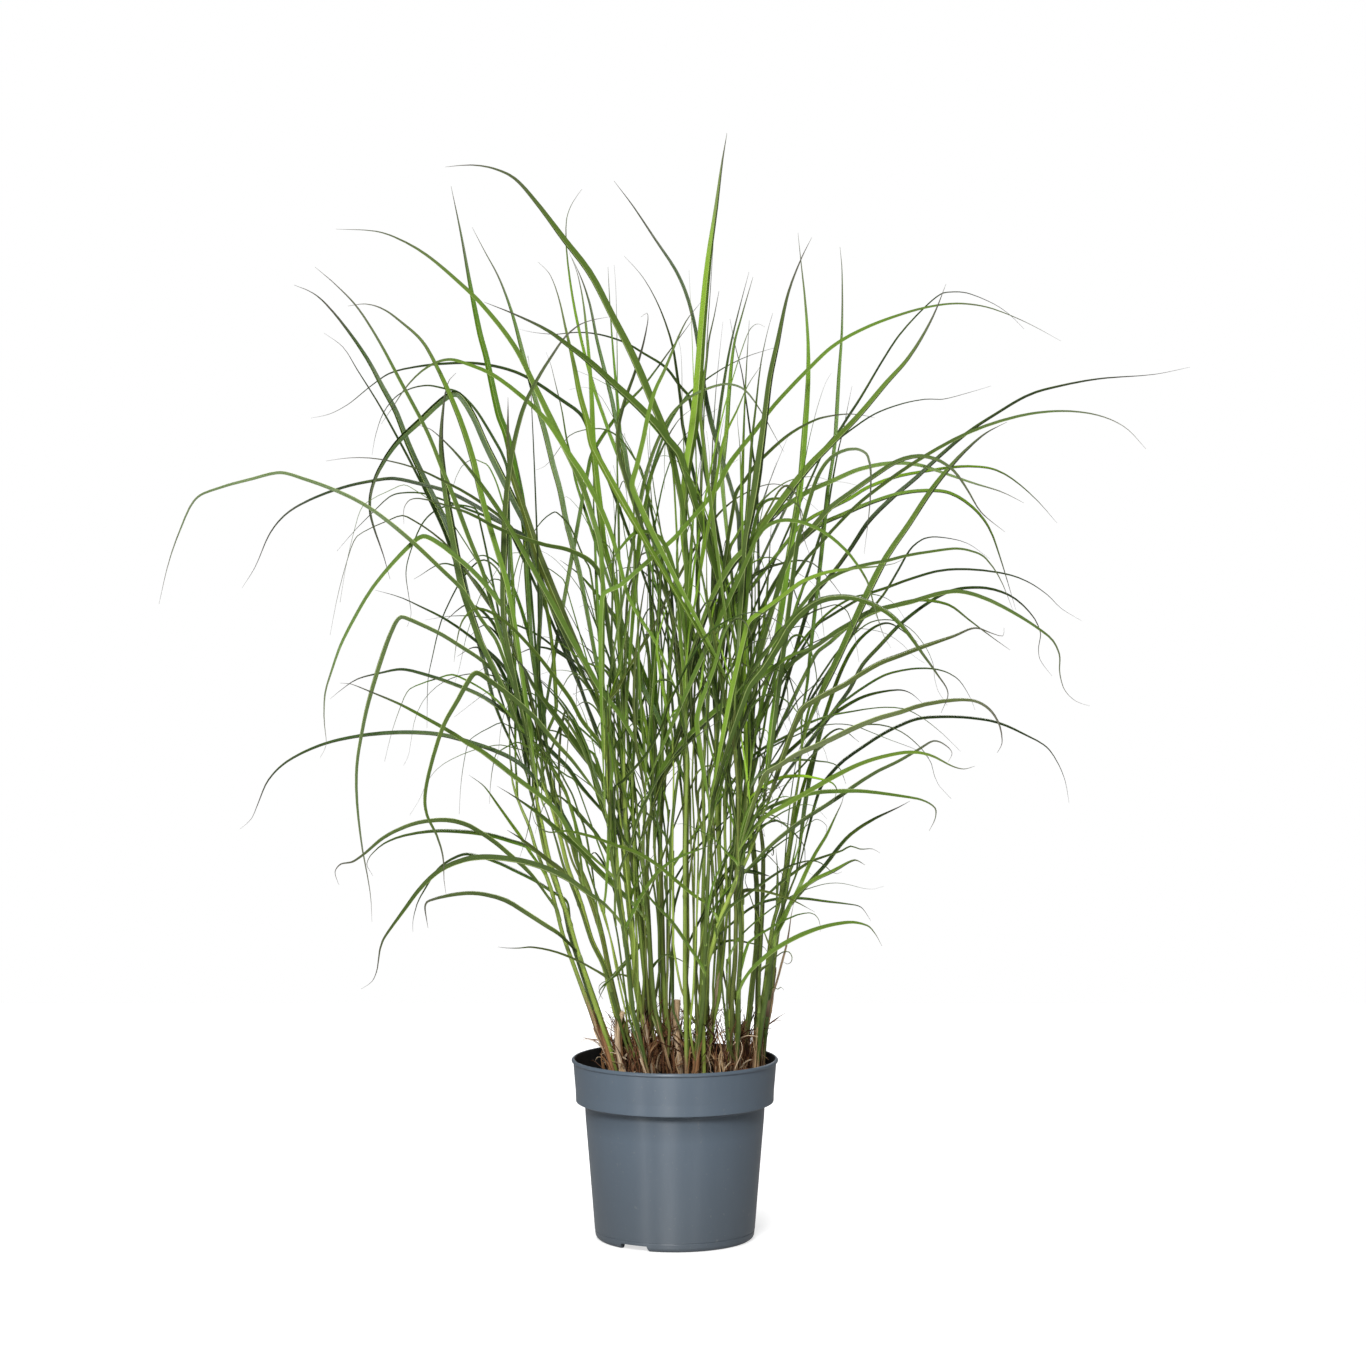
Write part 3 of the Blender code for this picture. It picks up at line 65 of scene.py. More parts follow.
# %% [markdown]
# ## The camera first
#
# A lens far back keeps the pot's sides nearly parallel, and a height just above the middle of the
# plant shows the rim as a flat ellipse. The camera comes first, because the leaves are read off the
# photo: a place in the photo is a sight line from this eye, and a depth along it gives the point.

# %% Camera
EYE = Vector((0.0075, -3.3, 0.69))
AIM = Vector((0.0075, 0.0, 0.5115))
MIDDLE = 683.0
PIXELS_PER_SLOPE = 3612.0
SENSOR = 36.0

lens = bpy.data.cameras.new("eye")
lens.sensor_width = SENSOR
lens.lens = SENSOR * PIXELS_PER_SLOPE / (2 * MIDDLE)
camera = bpy.data.objects.new("eye", lens)
camera.location = EYE
camera.rotation_euler = (AIM - EYE).to_track_quat("-Z", "Y").to_euler()
bpy.context.scene.collection.objects.link(camera)
bpy.context.scene.camera = camera
print("lens in mm:", round(lens.lens, 1))

# %% [markdown]
# ## The plant's drawing
#
# Each row is one leaf: a name, a tone, the width in mm, the width that shows in pixels, how far the
# tip leans back in mm, and its route from the tip down to where it meets the crowd. Tone y is a
# young yellow-green leaf, g a green one, d a dark one, o an olive one and s straw. A table keeps
# 120 leaves readable, and a loop later makes each of them in the same way.

# %% Routes of the leaves, tip first
LEAVES = """
a1 g 9 8 -60: 336 229, 376 231, 400 239, 426 254, 455 278, 482 304, 514 345, 536 388, 560 438, 570 458,
  582 485, 592 515, 600 545, 602 570, 603 598, 603 626
a2 g 10 9 -150: 445 167, 470 165, 492 168, 514 178, 536 202, 564 239, 590 273, 612 315, 633 356, 655 408,
  668 440, 675 470, 682 505, 685 540, 686 575
a3 g 9 9 40: 451 186, 461 234, 470 284, 480 334, 486 356, 499 415, 506 433, 515 471, 522 505, 526 540,
  527 575, 529 610, 532 650
a4 g 7 4 -30: 315 267, 335 284, 357 307, 379 341, 400 380, 422 421, 431 440, 442 468, 455 500, 470 540,
  483 572, 493 609, 502 640
a5 d 9 8 60: 294 285, 311 292, 324 302, 346 328, 368 360, 383 388, 396 412, 409 446, 426 483, 444 520,
  457 554, 465 585, 473 620, 484 662, 497 710
a6 d 5 3 120: 324 333, 343 347, 357 369, 379 404, 398 438, 415 470, 430 500, 448 540
a7 y 8 7 -90: 348 306, 366 304, 383 309, 400 321, 422 341, 437 367, 450 395, 462 425, 473 460, 480 490,
  488 520, 497 550, 506 580, 514 620, 520 660
a8 d 6 3 160: 311 418, 329 414, 348 404, 370 386, 389 373, 411 367, 444 363, 480 363, 520 373, 560 398,
  585 420
a9 g 8 6 -120: 381 424, 392 408, 405 388, 420 372, 436 362, 450 359, 463 362, 492 374, 525 399, 547 421,
  560 440, 572 458, 583 474, 597 500, 610 530, 619 560, 628 595, 640 618, 652 636, 662 655, 672 680
a10 d 5 3 90: 372 455, 375 437, 383 413, 395 397, 406 390, 418 386, 430 385, 445 388, 457 391, 468 400,
  478 412, 488 428, 495 440, 503 455, 508 472
a11 d 10 9 -40: 456 373, 450 379, 446 390, 443 410, 441 440, 443 470, 447 500, 452 530, 457 560, 462 585,
  470 612, 480 640, 492 665, 506 695
a12 d 9 8 20: 390 579, 383 554, 374 528, 370 511, 371 492, 379 470, 396 444, 420 421, 444 399, 457 394,
  472 414, 486 445, 501 475, 515 503, 528 530, 535 560, 541 590, 540 620, 538 660, 538 690, 541 720
a13 o 9 9 30: 508 397, 508 420, 508 445, 511 470, 517 490, 524 510, 532 535, 540 560
a14 d 8 6 -70: 609 317, 597 319, 581 324, 566 336, 553 354, 538 378, 525 404, 517 430, 511 460, 507 490,
  505 520, 504 560, 503 600, 505 630
a15 g 8 7 80: 472 227, 484 250, 499 278, 512 313, 523 354, 534 395, 545 432, 553 465, 560 490, 566 520,
  573 548, 580 575
a16 y 7 7 -60: 538 262, 549 273, 558 295, 566 330, 573 360, 580 395, 587 420, 594 450
a17 y 5 4 100: 546 352, 551 365, 556 385, 562 410, 567 440, 572 460, 577 485
a18 g 6 4 140: 582 189, 573 202, 567 217, 566 239, 568 265, 573 300, 579 330, 586 360, 596 395, 603 415,
  612 440
a19 y 8 8 -30: 569 252, 577 272, 583 300, 587 335, 590 370, 592 405, 593 440, 596 475, 600 510, 604 545,
  611 570, 617 600
a20 g 7 6 50: 572 258, 582 280, 590 305, 597 340, 605 372, 612 400, 617 425, 624 450, 630 480
b1 d 7 4 60: 614 181, 633 206, 655 239, 675 269, 686 293, 694 321, 699 349, 704 385, 711 420, 720 452,
  731 487, 738 515, 739 545, 741 580, 742 610, 742 640
b2 d 6 4 160: 624 256, 640 273, 653 293, 664 317, 673 345, 677 369, 681 400, 684 430
b3 y 5 4 90: 608 267, 610 306, 613 350, 617 395, 619 420, 622 450, 628 480
b4 d 6 5 -50: 641 317, 647 313, 648 319, 643 345, 634 375, 625 400, 618 430, 620 460
b5 g 8 7 -90: 701 302, 686 321, 673 349, 664 371, 655 390, 648 415, 643 440, 637 465, 633 490
b6 g 7 5 120: 694 318, 680 337, 668 353, 655 371, 640 390, 625 405, 611 424, 600 440, 590 460
b7 g 10 8 -160: 484 302, 514 314, 547 330, 568 345, 590 362, 612 382, 633 401, 655 423, 668 440, 680 456
b8 d 6 3 180: 519 329, 532 332, 555 334, 577 332, 599 334, 625 342, 644 353, 666 367, 680 385, 690 398
b9 y 11 11 -30: 727 133, 722 163, 716 208, 709 256, 703 317, 699 371, 694 425, 688 461, 684 500, 684 538,
  688 575, 688 612
b10 d 6 4 90: 749 272, 740 306, 731 343, 724 382, 718 425, 716 450, 714 480
b11 g 6 5 60: 753 277, 742 315, 734 345, 729 393, 727 425, 724 455, 722 480
b12 g 5 4 -80: 719 291, 714 317, 709 339, 706 365, 703 390, 701 420
b13 d 4 3 150: 730 319, 735 345, 742 373, 746 400, 750 430, 753 455, 757 480
b14 y 5 3 -120: 762 364, 748 385, 737 410, 727 430, 722 445
b15 y 4 3 -60: 737 405, 738 425, 740 445, 741 470, 742 500
b16 d 9 9 -90: 812 237, 801 259, 788 294, 777 345, 770 378, 764 425, 760 455, 756 485, 751 515, 746 540,
  744 570
b17 d 5 3 110: 777 347, 748 356, 725 367, 705 380, 690 392, 678 408, 668 425, 660 445, 652 470, 647 490
b18 d 5 4 -60: 784 452, 776 438, 765 418, 752 398, 742 388, 727 384, 709 388, 690 397, 672 414, 658 440,
  648 468, 641 498
b19 g 7 5 -20: 693 408, 680 418, 670 432, 660 452, 651 475, 646 500, 640 530
b20 d 6 4 -170: 875 418, 862 415, 845 414, 820 418, 806 424, 792 432, 779 442, 765 455, 755 465, 746 478,
  735 495
c1 y 10 9 -50: 798 233, 801 262, 805 299, 808 339, 808 382, 804 441, 799 495, 788 562, 780 618, 773 655,
  764 693, 757 725, 753 755
c2 g 7 5 60: 840 247, 842 270, 842 329, 839 374, 835 441, 832 465, 828 490, 825 520, 822 550, 818 585,
  814 620, 810 655, 807 685, 802 715
c3 d 5 3 150: 1024 329, 1010 315, 994 304, 967 293, 951 292, 941 294, 925 307, 900 334, 882 361, 860 398,
  847 418, 838 432, 826 446, 812 462, 800 478
c4 g 8 5 -60: 1061 341, 1034 326, 1008 314, 984 306, 957 303, 930 306, 900 314, 866 327, 834 345, 807 370,
  780 398, 768 412, 755 430, 742 446, 728 465, 718 485, 703 505, 690 520, 675 537, 658 552, 640 568,
  620 585, 602 597
c5 g 10 9 -120: 946 284, 935 312, 922 337, 906 361, 887 382, 860 414, 834 441, 812 463, 796 482, 780 503,
  762 528, 750 545, 735 560, 722 580, 710 603, 700 628, 690 655
c6 d 5 3 40: 852 386, 848 405, 843 430, 838 450, 834 470, 830 492, 826 515
c7 d 4 2 120: 991 386, 967 393, 943 399, 925 399, 900 404, 874 414, 850 430, 835 442, 820 458
c8 d 8 4 60: 1190 367, 1155 374, 1101 378, 1061 385, 1029 394, 994 414, 967 432, 941 454, 914 479, 892 497,
  868 521, 852 545, 838 565, 824 582, 810 600
c9 d 7 3 -60: 1146 449, 1126 428, 1101 416, 1069 411, 1034 413, 1000 421, 967 433, 941 446, 909 465,
  882 484, 858 503, 836 525, 818 545, 803 562
c10 g 10 8 -90: 1007 422, 986 433, 967 449, 949 468, 930 492, 909 524, 887 556, 870 588, 856 618, 844 645,
  830 675, 818 700, 808 725, 802 745
c11 g 7 4 120: 1057 523, 1037 500, 1013 479, 994 469, 973 466, 951 467, 925 471, 898 476, 868 487, 850 498,
  830 508, 812 517, 796 530
c12 g 9 6 -30: 1024 503, 1002 492, 973 483, 941 472, 919 465, 892 463, 860 469, 834 480, 807 492, 790 503,
  775 513, 760 525
c13 d 9 7 -140: 1005 532, 981 512, 967 489, 954 471, 938 460, 919 456, 898 461, 874 476, 850 493, 830 508,
  815 525, 800 540, 790 556, 782 575
c14 g 8 5 40: 1016 610, 1000 556, 989 527, 973 507, 951 493, 930 490, 900 493, 868 503, 840 515, 822 523,
  806 535, 794 548
c15 d 8 6 -60: 864 554, 868 520, 870 495, 870 468, 866 454, 859 450, 847 450, 832 457, 820 472, 811 495,
  804 520, 798 540
c16 d 5 3 90: 990 559, 967 543, 941 537, 925 538, 911 548, 898 570, 885 592, 874 606, 862 620
c17 d 7 4 -80: 1013 610, 1000 578, 985 557, 973 551, 957 548, 930 551, 906 555, 887 560, 870 563, 850 568,
  832 576, 815 588
c18 y 8 7 -140: 905 558, 895 563, 878 566, 855 568, 832 571, 815 576, 800 583, 788 592, 775 602, 760 613,
  748 624
c19 d 5 3 150: 1082 621, 1061 608, 1048 595, 1029 582, 1008 574, 973 569, 941 570, 909 579, 885 588,
  870 593, 850 604, 830 616, 815 627
c20 g 8 6 -180: 891 648, 884 636, 878 618, 873 600, 868 582, 858 565, 846 550, 830 536, 815 527, 798 521,
  782 520, 768 525, 757 536, 750 552
c21 g 8 6 -60: 808 535, 804 520, 800 507, 790 500, 776 498, 765 501, 758 511, 754 526, 751 546
d1 d 8 5 -40: 1090 706, 1076 701, 1065 690, 1060 672, 1060 655, 1053 640, 1040 629, 1015 613, 985 598,
  960 591, 939 593, 912 601, 890 606, 868 612, 852 622, 835 632, 820 643, 800 656, 785 670
d2 d 7 4 120: 1052 676, 1040 659, 1039 646, 1041 634, 1034 617, 1015 598, 994 589, 973 587, 952 590,
  930 601, 901 623, 880 645, 862 665, 850 688, 838 705
d3 g 7 5 60: 1010 650, 989 635, 968 619, 949 605, 922 600, 901 603, 880 610, 862 618, 846 628, 830 642,
  815 655
d4 o 8 7 -100: 1004 628, 1003 636, 994 634, 975 628, 954 636, 922 647, 901 655, 880 663, 859 675, 846 684,
  832 691, 815 700, 800 712
d5 g 9 8 -170: 941 713, 948 693, 937 674, 922 653, 907 632, 893 617, 880 608, 862 600, 843 597, 822 600,
  805 610, 790 626, 778 646, 764 668, 748 690
d6 d 4 2 90: 975 710, 970 697, 958 679, 941 670, 918 668, 893 672, 880 677, 862 688, 848 698, 836 708
d7 d 7 4 150: 922 703, 912 694, 901 690, 880 692, 862 697, 845 706, 830 716, 812 730
d8 o 9 6 -60: 997 753, 1002 743, 999 724, 989 709, 975 701, 954 700, 922 705, 901 712, 880 718, 855 728,
  835 738, 815 747, 797 755, 780 766, 765 776
d9 d 6 3 60: 1069 803, 1065 781, 1057 762, 1046 747, 1027 736, 998 723, 970 718, 943 717, 918 719, 897 727,
  880 736, 862 748, 845 760, 832 773, 820 790
d10 g 8 6 -130: 975 766, 964 769, 952 766, 930 755, 909 752, 880 757, 859 764, 840 773, 820 784, 803 794,
  788 803, 772 812, 757 824
d11 d 7 5 -40: 948 762, 952 753, 945 745, 934 741, 918 750, 897 762, 880 770, 860 782, 843 794, 825 806,
  806 818, 788 831, 768 848, 752 864
d12 g 7 5 -90: 929 831, 935 819, 935 808, 922 800, 907 797, 880 793, 860 791, 840 791, 820 792, 800 796,
  785 801, 770 807, 757 816, 744 829
d13 d 7 6 60: 910 801, 899 807, 872 820, 851 834, 838 848, 826 864, 813 878, 801 892, 792 903, 785 916
d14 g 7 6 -60: 844 794, 842 802, 836 815, 826 836, 815 854, 806 872, 798 890, 790 905, 783 922
d15 d 5 3 -120: 880 853, 873 849, 860 849, 851 846, 843 850, 828 855, 809 862, 789 876, 775 887, 760 897
d16 g 7 5 -150: 865 865, 855 860, 842 866, 833 871, 814 880, 797 893, 788 908, 780 925
d17 d 5 3 30: 871 921, 861 907, 849 904, 826 901, 803 898, 780 898, 762 902, 747 910, 735 920
d18 g 8 6 -90: 882 946, 878 938, 870 927, 860 923, 849 922, 826 926, 803 934, 780 946, 765 957, 750 972,
  740 988
d19 o 4 3 -60: 815 912, 808 908, 797 902, 785 897, 772 893, 758 889, 745 885
d20 s 4 3 -40: 794 903, 791 915, 789 929, 786 946, 781 965, 776 985
e1 d 7 4 -40: 159 604, 168 565, 179 533, 196 499, 220 488, 253 479, 280 473, 303 479, 331 489, 357 501,
  379 515, 411 541, 444 572, 462 590, 480 618, 498 645
e2 d 8 5 60: 242 588, 255 567, 270 533, 287 513, 313 498, 346 486, 374 480, 394 478, 422 484, 444 490,
  460 497, 480 508, 497 519, 512 529, 525 537
e3 d 6 4 -90: 326 461, 348 458, 370 458, 394 462, 418 469, 444 481, 465 492, 485 505, 503 519, 516 534
e4 d 5 3 120: 337 551, 357 528, 374 511, 389 497, 400 493, 422 493, 444 500, 465 508, 490 518, 510 531
e5 d 8 6 -120: 404 524, 404 509, 410 500, 422 499, 444 505, 470 514, 495 527, 520 537, 545 545, 565 549,
  580 555, 592 563, 601 577, 604 597
e6 g 8 6 -60: 320 758, 326 745, 324 719, 325 693, 331 672, 340 646, 353 620, 370 591, 389 567, 411 544,
  423 536, 439 543, 457 557, 475 573, 490 590, 501 604, 511 616
e7 d 4 2 150: 407 627, 411 615, 409 598, 406 572, 411 550, 422 524, 433 512, 446 506, 462 505, 478 512
e8 d 6 4 90: 375 590, 400 597, 422 607, 444 618, 465 632, 485 648, 502 664, 512 680
e9 d 7 5 -40: 372 922, 371 899, 368 878, 362 845, 357 799, 357 765, 362 732, 369 700, 385 648, 396 622,
  401 617, 422 625, 444 636, 463 648, 480 659, 495 673, 506 690
e10 d 8 6 60: 330 699, 342 689, 357 679, 379 673, 402 669, 428 675, 454 684, 480 695, 500 708, 520 722,
  536 736, 552 752, 568 768, 580 785
e11 g 8 6 -110: 340 683, 351 684, 374 693, 400 704, 428 719, 454 734, 467 743, 480 750, 500 765, 515 777,
  530 788, 548 802, 562 818, 572 836
e12 d 3 2 60: 427 728, 428 680, 432 659, 441 622, 454 593, 463 578, 473 566, 484 560, 496 568, 504 585
e13 d 8 6 -160: 446 894, 444 880, 443 857, 437 836, 427 815, 425 796, 431 765, 444 725, 458 700, 468 682,
  476 673, 490 681, 510 696, 533 716, 545 730, 556 743, 570 758, 581 772
e14 d 8 5 60: 240 829, 251 819, 258 803, 268 780, 287 761, 322 744, 362 735, 402 732, 440 734, 475 743,
  500 752, 520 763, 533 776, 548 793, 562 813, 574 836
e15 d 8 6 -60: 339 885, 335 872, 341 864, 352 862, 364 854, 383 838, 402 828, 421 822, 446 820, 465 824,
  480 832, 496 843, 510 855, 522 865, 535 879, 547 896
e16 g 8 5 120: 373 876, 367 864, 370 857, 383 845, 402 837, 431 832, 460 832, 488 835, 510 841, 530 848,
  545 858, 560 869, 572 883
e17 d 9 7 -90: 361 989, 372 981, 377 968, 379 952, 383 939, 402 912, 421 887, 440 870, 463 860, 484 857,
  510 859, 530 863, 550 870, 570 880, 588 893, 605 905, 618 920
e18 d 6 4 90: 413 932, 413 922, 417 905, 423 893, 440 868, 463 855, 480 857, 498 863, 515 871, 535 881,
  552 892, 567 902
e19 d 8 6 -30: 428 928, 425 907, 427 902, 446 896, 469 893, 488 895, 507 901, 525 912, 545 925, 560 935,
  574 949
e20 o 4 3 -60: 498 947, 507 948, 520 948, 530 947, 545 949, 560 953, 577 960, 592 968, 603 976
e21 y 5 4 -80: 469 775, 484 786, 498 805, 510 822, 520 836, 530 852, 541 869
e22 g 8 7 -120: 497 786, 515 797, 539 814, 552 825, 564 836, 580 850, 594 866
e23 o 7 5 -60: 507 830, 520 838, 533 848, 545 858, 558 870
f1 g 9 8 -190: 842 632, 826 640, 810 648, 790 656, 770 670, 750 685, 730 700, 710 716, 692 733, 678 748,
  666 763, 656 782, 652 802
f2 g 8 7 -200: 600 578, 612 560, 622 546, 635 533, 648 532, 660 538, 668 552, 674 572, 678 592, 682 614
f3 g 9 8 -150: 418 425, 430 429, 441 438, 455 452, 470 470, 485 490, 500 512, 512 532, 527 558, 541 583,
  556 610, 572 640, 588 668, 602 692, 618 712, 632 735, 645 760
f4 g 7 6 -180: 454 662, 457 640, 463 620, 475 609, 490 612, 508 624, 524 640, 543 662, 558 682, 571 700,
  583 722
f5 d 4 3 60: 425 620, 450 616, 475 616, 500 620, 520 626, 540 636, 558 650, 576 662, 592 676
f6 g 10 8 -120: 512 655, 524 668, 533 685, 546 703, 560 722, 574 742, 588 760, 602 778, 614 800, 622 825
f7 g 8 7 -60: 752 636, 745 622, 738 618, 730 624, 722 640, 717 660, 710 680, 702 700, 697 722
f8 d 8 7 -30: 652 585, 662 612, 675 638, 690 662, 705 683, 718 702, 730 724, 738 748
f9 g 8 7 60: 603 592, 612 615, 625 648, 638 678, 650 702, 661 725, 672 748, 681 777
f10 d 9 8 -80: 793 500, 778 515, 762 530, 747 548, 733 566, 720 585, 708 610, 697 640, 690 670, 688 700
f11 y 6 4 -160: 532 812, 536 824, 548 832, 566 831, 590 836, 615 845, 638 853, 658 865, 676 880, 694 895,
  708 905, 718 920
f12 g 6 5 -130: 718 841, 703 848, 686 854, 670 862, 658 872, 646 888, 636 906, 629 926
f13 g 5 4 -90: 632 868, 640 882, 650 898, 662 911, 672 922, 682 936
f14 g 5 5 -40: 603 999, 599 992, 603 986, 613 977, 624 965, 634 953, 643 940, 650 925
f15 o 8 6 100: 575 640, 590 650, 604 664, 618 680, 630 700, 640 722, 650 748
f16 g 8 7 140: 560 560, 580 575, 600 598, 618 622, 632 648, 644 675, 655 705, 664 735
"""

# %% [markdown]
# The culms are drawn from the soil up, with a depth for the foot and for the top. Low dead shoots,
# cut or broken off, stand between them.

# %% Routes of the culms and stubs, foot first
CULMS = """
k1 g -8 40: 612 1068, 604 1046, 597 1030, 588 1004, 574 966, 563 935, 553 896, 546 875, 536 849, 529 826,
  520 805, 513 784, 510 759
k2 y 6 10: 615 1068, 606 1038, 598 1013, 587 980, 576 945, 568 916, 560 893, 549 857, 542 823, 536 795,
  532 769
k3 y 18 -20: 630 1064, 622 1036, 612 998, 604 966, 592 941, 584 914, 577 892, 568 868, 561 840, 553 812,
  544 787, 539 770
k4 g 34 60: 636 1066, 626 1036, 617 1005, 609 970, 602 935, 594 905, 585 880, 577 862, 571 840, 565 823,
  554 788, 548 759
k5 y -18 -30: 645 1068, 638 1035, 633 1015, 630 986, 626 940, 621 903, 618 875, 614 840, 610 805, 608 780,
  605 745, 604 710
k6 y 4 -8: 652 1068, 648 1053, 644 1030, 639 999, 635 969, 632 931, 629 890, 627 854, 625 812, 624 773,
  624 738
k7 g 20 30: 667 1066, 660 1038, 654 1007, 651 960, 649 920, 647 880, 648 840, 651 812, 653 780, 655 750
k8 o 40 55: 656 1062, 650 1030, 647 990, 645 966, 643 924, 638 889, 631 857, 628 830, 622 800, 617 775
k9 o 48 80: 670 1058, 667 1038, 664 1010, 663 960, 662 910, 661 882, 660 850, 661 820, 664 790, 668 760
k10 g -30 -45: 686 1070, 686 1030, 685 986, 685 938, 685 896, 685 854, 686 812, 687 770, 686 738, 685 696,
  686 654
k11 g 2 -10: 694 1068, 698 1030, 701 992, 702 946, 703 900, 704 860, 704 820, 703 780, 705 745, 707 710,
  708 680
k12 y -22 -70: 704 1068, 703 1020, 705 990, 707 966, 713 945, 721 917, 727 903, 733 889, 741 871, 749 854,
  756 837, 762 820
k13 g 30 20: 707 1056, 712 1019, 716 998, 719 961, 722 920, 722 900, 720 868, 718 833, 717 798, 717 770,
  716 745, 717 696
k14 y 10 -20: 728 1066, 730 1030, 731 998, 735 961, 736 920, 738 875, 740 840, 741 798, 740 770, 738 738,
  741 696, 741 660
k15 g 36 60: 742 1062, 748 1020, 752 985, 756 950, 757 920, 757 890, 755 860, 752 830, 752 790, 753 773,
  755 752, 756 731
k16 g 16 -30: 756 1062, 760 1019, 765 986, 769 952, 773 924, 779 903, 784 875, 789 847, 792 823, 796 795,
  800 770, 801 752
k17 g 30 20: 762 1060, 765 1030, 770 999, 774 961, 778 930, 782 910, 790 890, 798 870
k18 o 30 56: 752 1060, 757 1020, 758 985, 760 950, 762 915, 763 880, 763 850, 760 825, 757 800, 760 780
k19 y -6 -50: 734 1068, 737 1030, 738 998, 740 965, 742 930, 741 895, 742 865, 744 829, 748 791, 751 765
"""

STUBS = """
s1 s 14 10 6.5: 679 1068, 678 1046, 676 1020, 677 1000
s2 s 30 34 5: 716 1068, 712 1050, 710 1032, 711 1022
s3 s 6 -4 4.5: 622 1068, 618 1044, 619 1024, 623 1012
s4 s 40 52 5: 742 1066, 745 1048, 743 1032, 745 1022
"""

# %% [markdown]
# ## From the drawing to lines in space
#
# Every line starts flat, as a route in the photo. Two helpers lift it: rays gives the sight line
# of a pixel, and placed walks along it to a depth. A smooth line runs through the drawn points, as
# a spring wire would, so a leaf has no corners where the points are.

# %% Sight lines and smooth lines
HEART = 676.0
MM_PER_PIXEL = 0.92
SEED = 11
STEP = 6.0


def rows(table):
    """Each row of a table as (name, tone, numbers, points in the photo's pixels).

    A row may go on in the next line, which is then set in by two spaces.
    """
    for line in table.strip().replace("\n  ", " ").splitlines():
        head, route = line.split(":")
        name, tone, *numbers = head.split()
        points = [tuple(float(v) for v in place.split()) for place in route.split(",")]
        yield name, tone, [float(v) for v in numbers], points


def sight():
    """Unit vectors of the sight line: forward, to the right and up."""
    forward = (AIM - EYE).normalized()
    right = forward.cross(Vector((0, 0, 1))).normalized()
    return forward, right, right.cross(forward)


FORWARD, RIGHT, UP = (np.array(v) for v in sight())
EYE_AT = np.array(EYE)


def rays(pixels):
    """For places in the photo, the way from the eye for each metre of depth."""
    across = (pixels[:, 0] - MIDDLE) / PIXELS_PER_SLOPE
    up = (MIDDLE - pixels[:, 1]) / PIXELS_PER_SLOPE
    ways = FORWARD + across[:, None] * RIGHT + up[:, None] * UP
    return ways / ways[:, 1:2]


def placed(pixels, depths):
    """Points in metres that the photo shows at these pixels, at these depths in mm."""
    return EYE_AT + rays(pixels) * (depths * MM - EYE_AT[1])[:, None]


def smooth_line(points, step):
    """A smooth line through the points, with a place about every step."""
    points = np.asarray(points, float)
    gaps = np.maximum(np.linalg.norm(np.diff(points, axis=0), axis=1), 1e-6)[:, None]
    ways = np.diff(points, axis=0)
    inner = (ways[:-1] + ways[1:]) / (gaps[:-1] + gaps[1:])
    headings = np.vstack([ways[:1] / gaps[:1], inner, ways[-1:] / gaps[-1:]])
    line = []
    for a, b, gap, out, into in zip(points, points[1:], gaps, headings, headings[1:]):
        count = max(1, round(float(gap[0]) / step))
        t = (np.arange(count) / count)[:, None]
        out_part = (t - 2 * t**2 + t**3) * gap * out
        into_part = (t**3 - t**2) * gap * into
        line.append(a + (b - a) * (3 * t**2 - 2 * t**3) + out_part + into_part)
    return np.vstack([*line, points[-1:]])


class Strand:
    """A culm or a blade: its line in the photo from the base up, and its depth along that line."""

    def __init__(self, name, tone, pixels, depths, width, shown, culm=None):
        self.name, self.tone, self.culm = name, tone, culm
        self.pixels, self.depths = pixels, depths
        self.width, self.shown = width, shown
        self.leaves = []

    def points(self):
        """The strand's line in metres."""
        return placed(self.pixels, self.depths)

    def lean(self):
        """How far the tip lies behind the base, in mm."""
        return self.depths[-1] - self.depths[0]

# %% [markdown]
# ## Culms
#
# The photo shows 19 culms clearly, and the crowd hides about as many. Each drawn culm gets a twin
# behind or before it, bent a little another way. All of them end where they meet the soil's mound.

# %% Culms and stubs
CULM_RADIUS = 2.3
GAP = 0.3
SOIL_RADIUS = 88.0
SOIL_EDGE_HEIGHT = 144.0
SOIL_MOUND = 5.0
SOIL_ROUGHNESS = 1.6


def soil_height(x, y):
    """The soil's height in mm at a place given in mm."""
    edge = min(1.0, math.hypot(x, y) / SOIL_RADIUS)
    return SOIL_EDGE_HEIGHT + SOIL_MOUND * (1 - edge**2)


def root_culm(pixels, depths):
    """Ends a culm's line where it meets the soil, a little above it."""
    pixels = np.vstack([pixels[0] + 3 * (pixels[0] - pixels[1]), pixels])
    depths = np.concatenate([depths[:1], depths])
    points = placed(pixels, depths) / MM
    heights = [p[2] - soil_height(p[0], p[1]) - GAP - SOIL_ROUGHNESS for p in points]
    first = next(i for i, h in enumerate(heights) if h > 0)
    first = max(1, first)
    low, high = heights[first - 1], heights[first]
    t = -low / (high - low)
    pixel = pixels[first - 1] + t * (pixels[first] - pixels[first - 1])
    depth = depths[first - 1] + t * (depths[first] - depths[first - 1])
    keep = first if t < 0.8 else first + 1
    return np.vstack([pixel, pixels[keep:]]), np.concatenate([[depth], depths[keep:]])


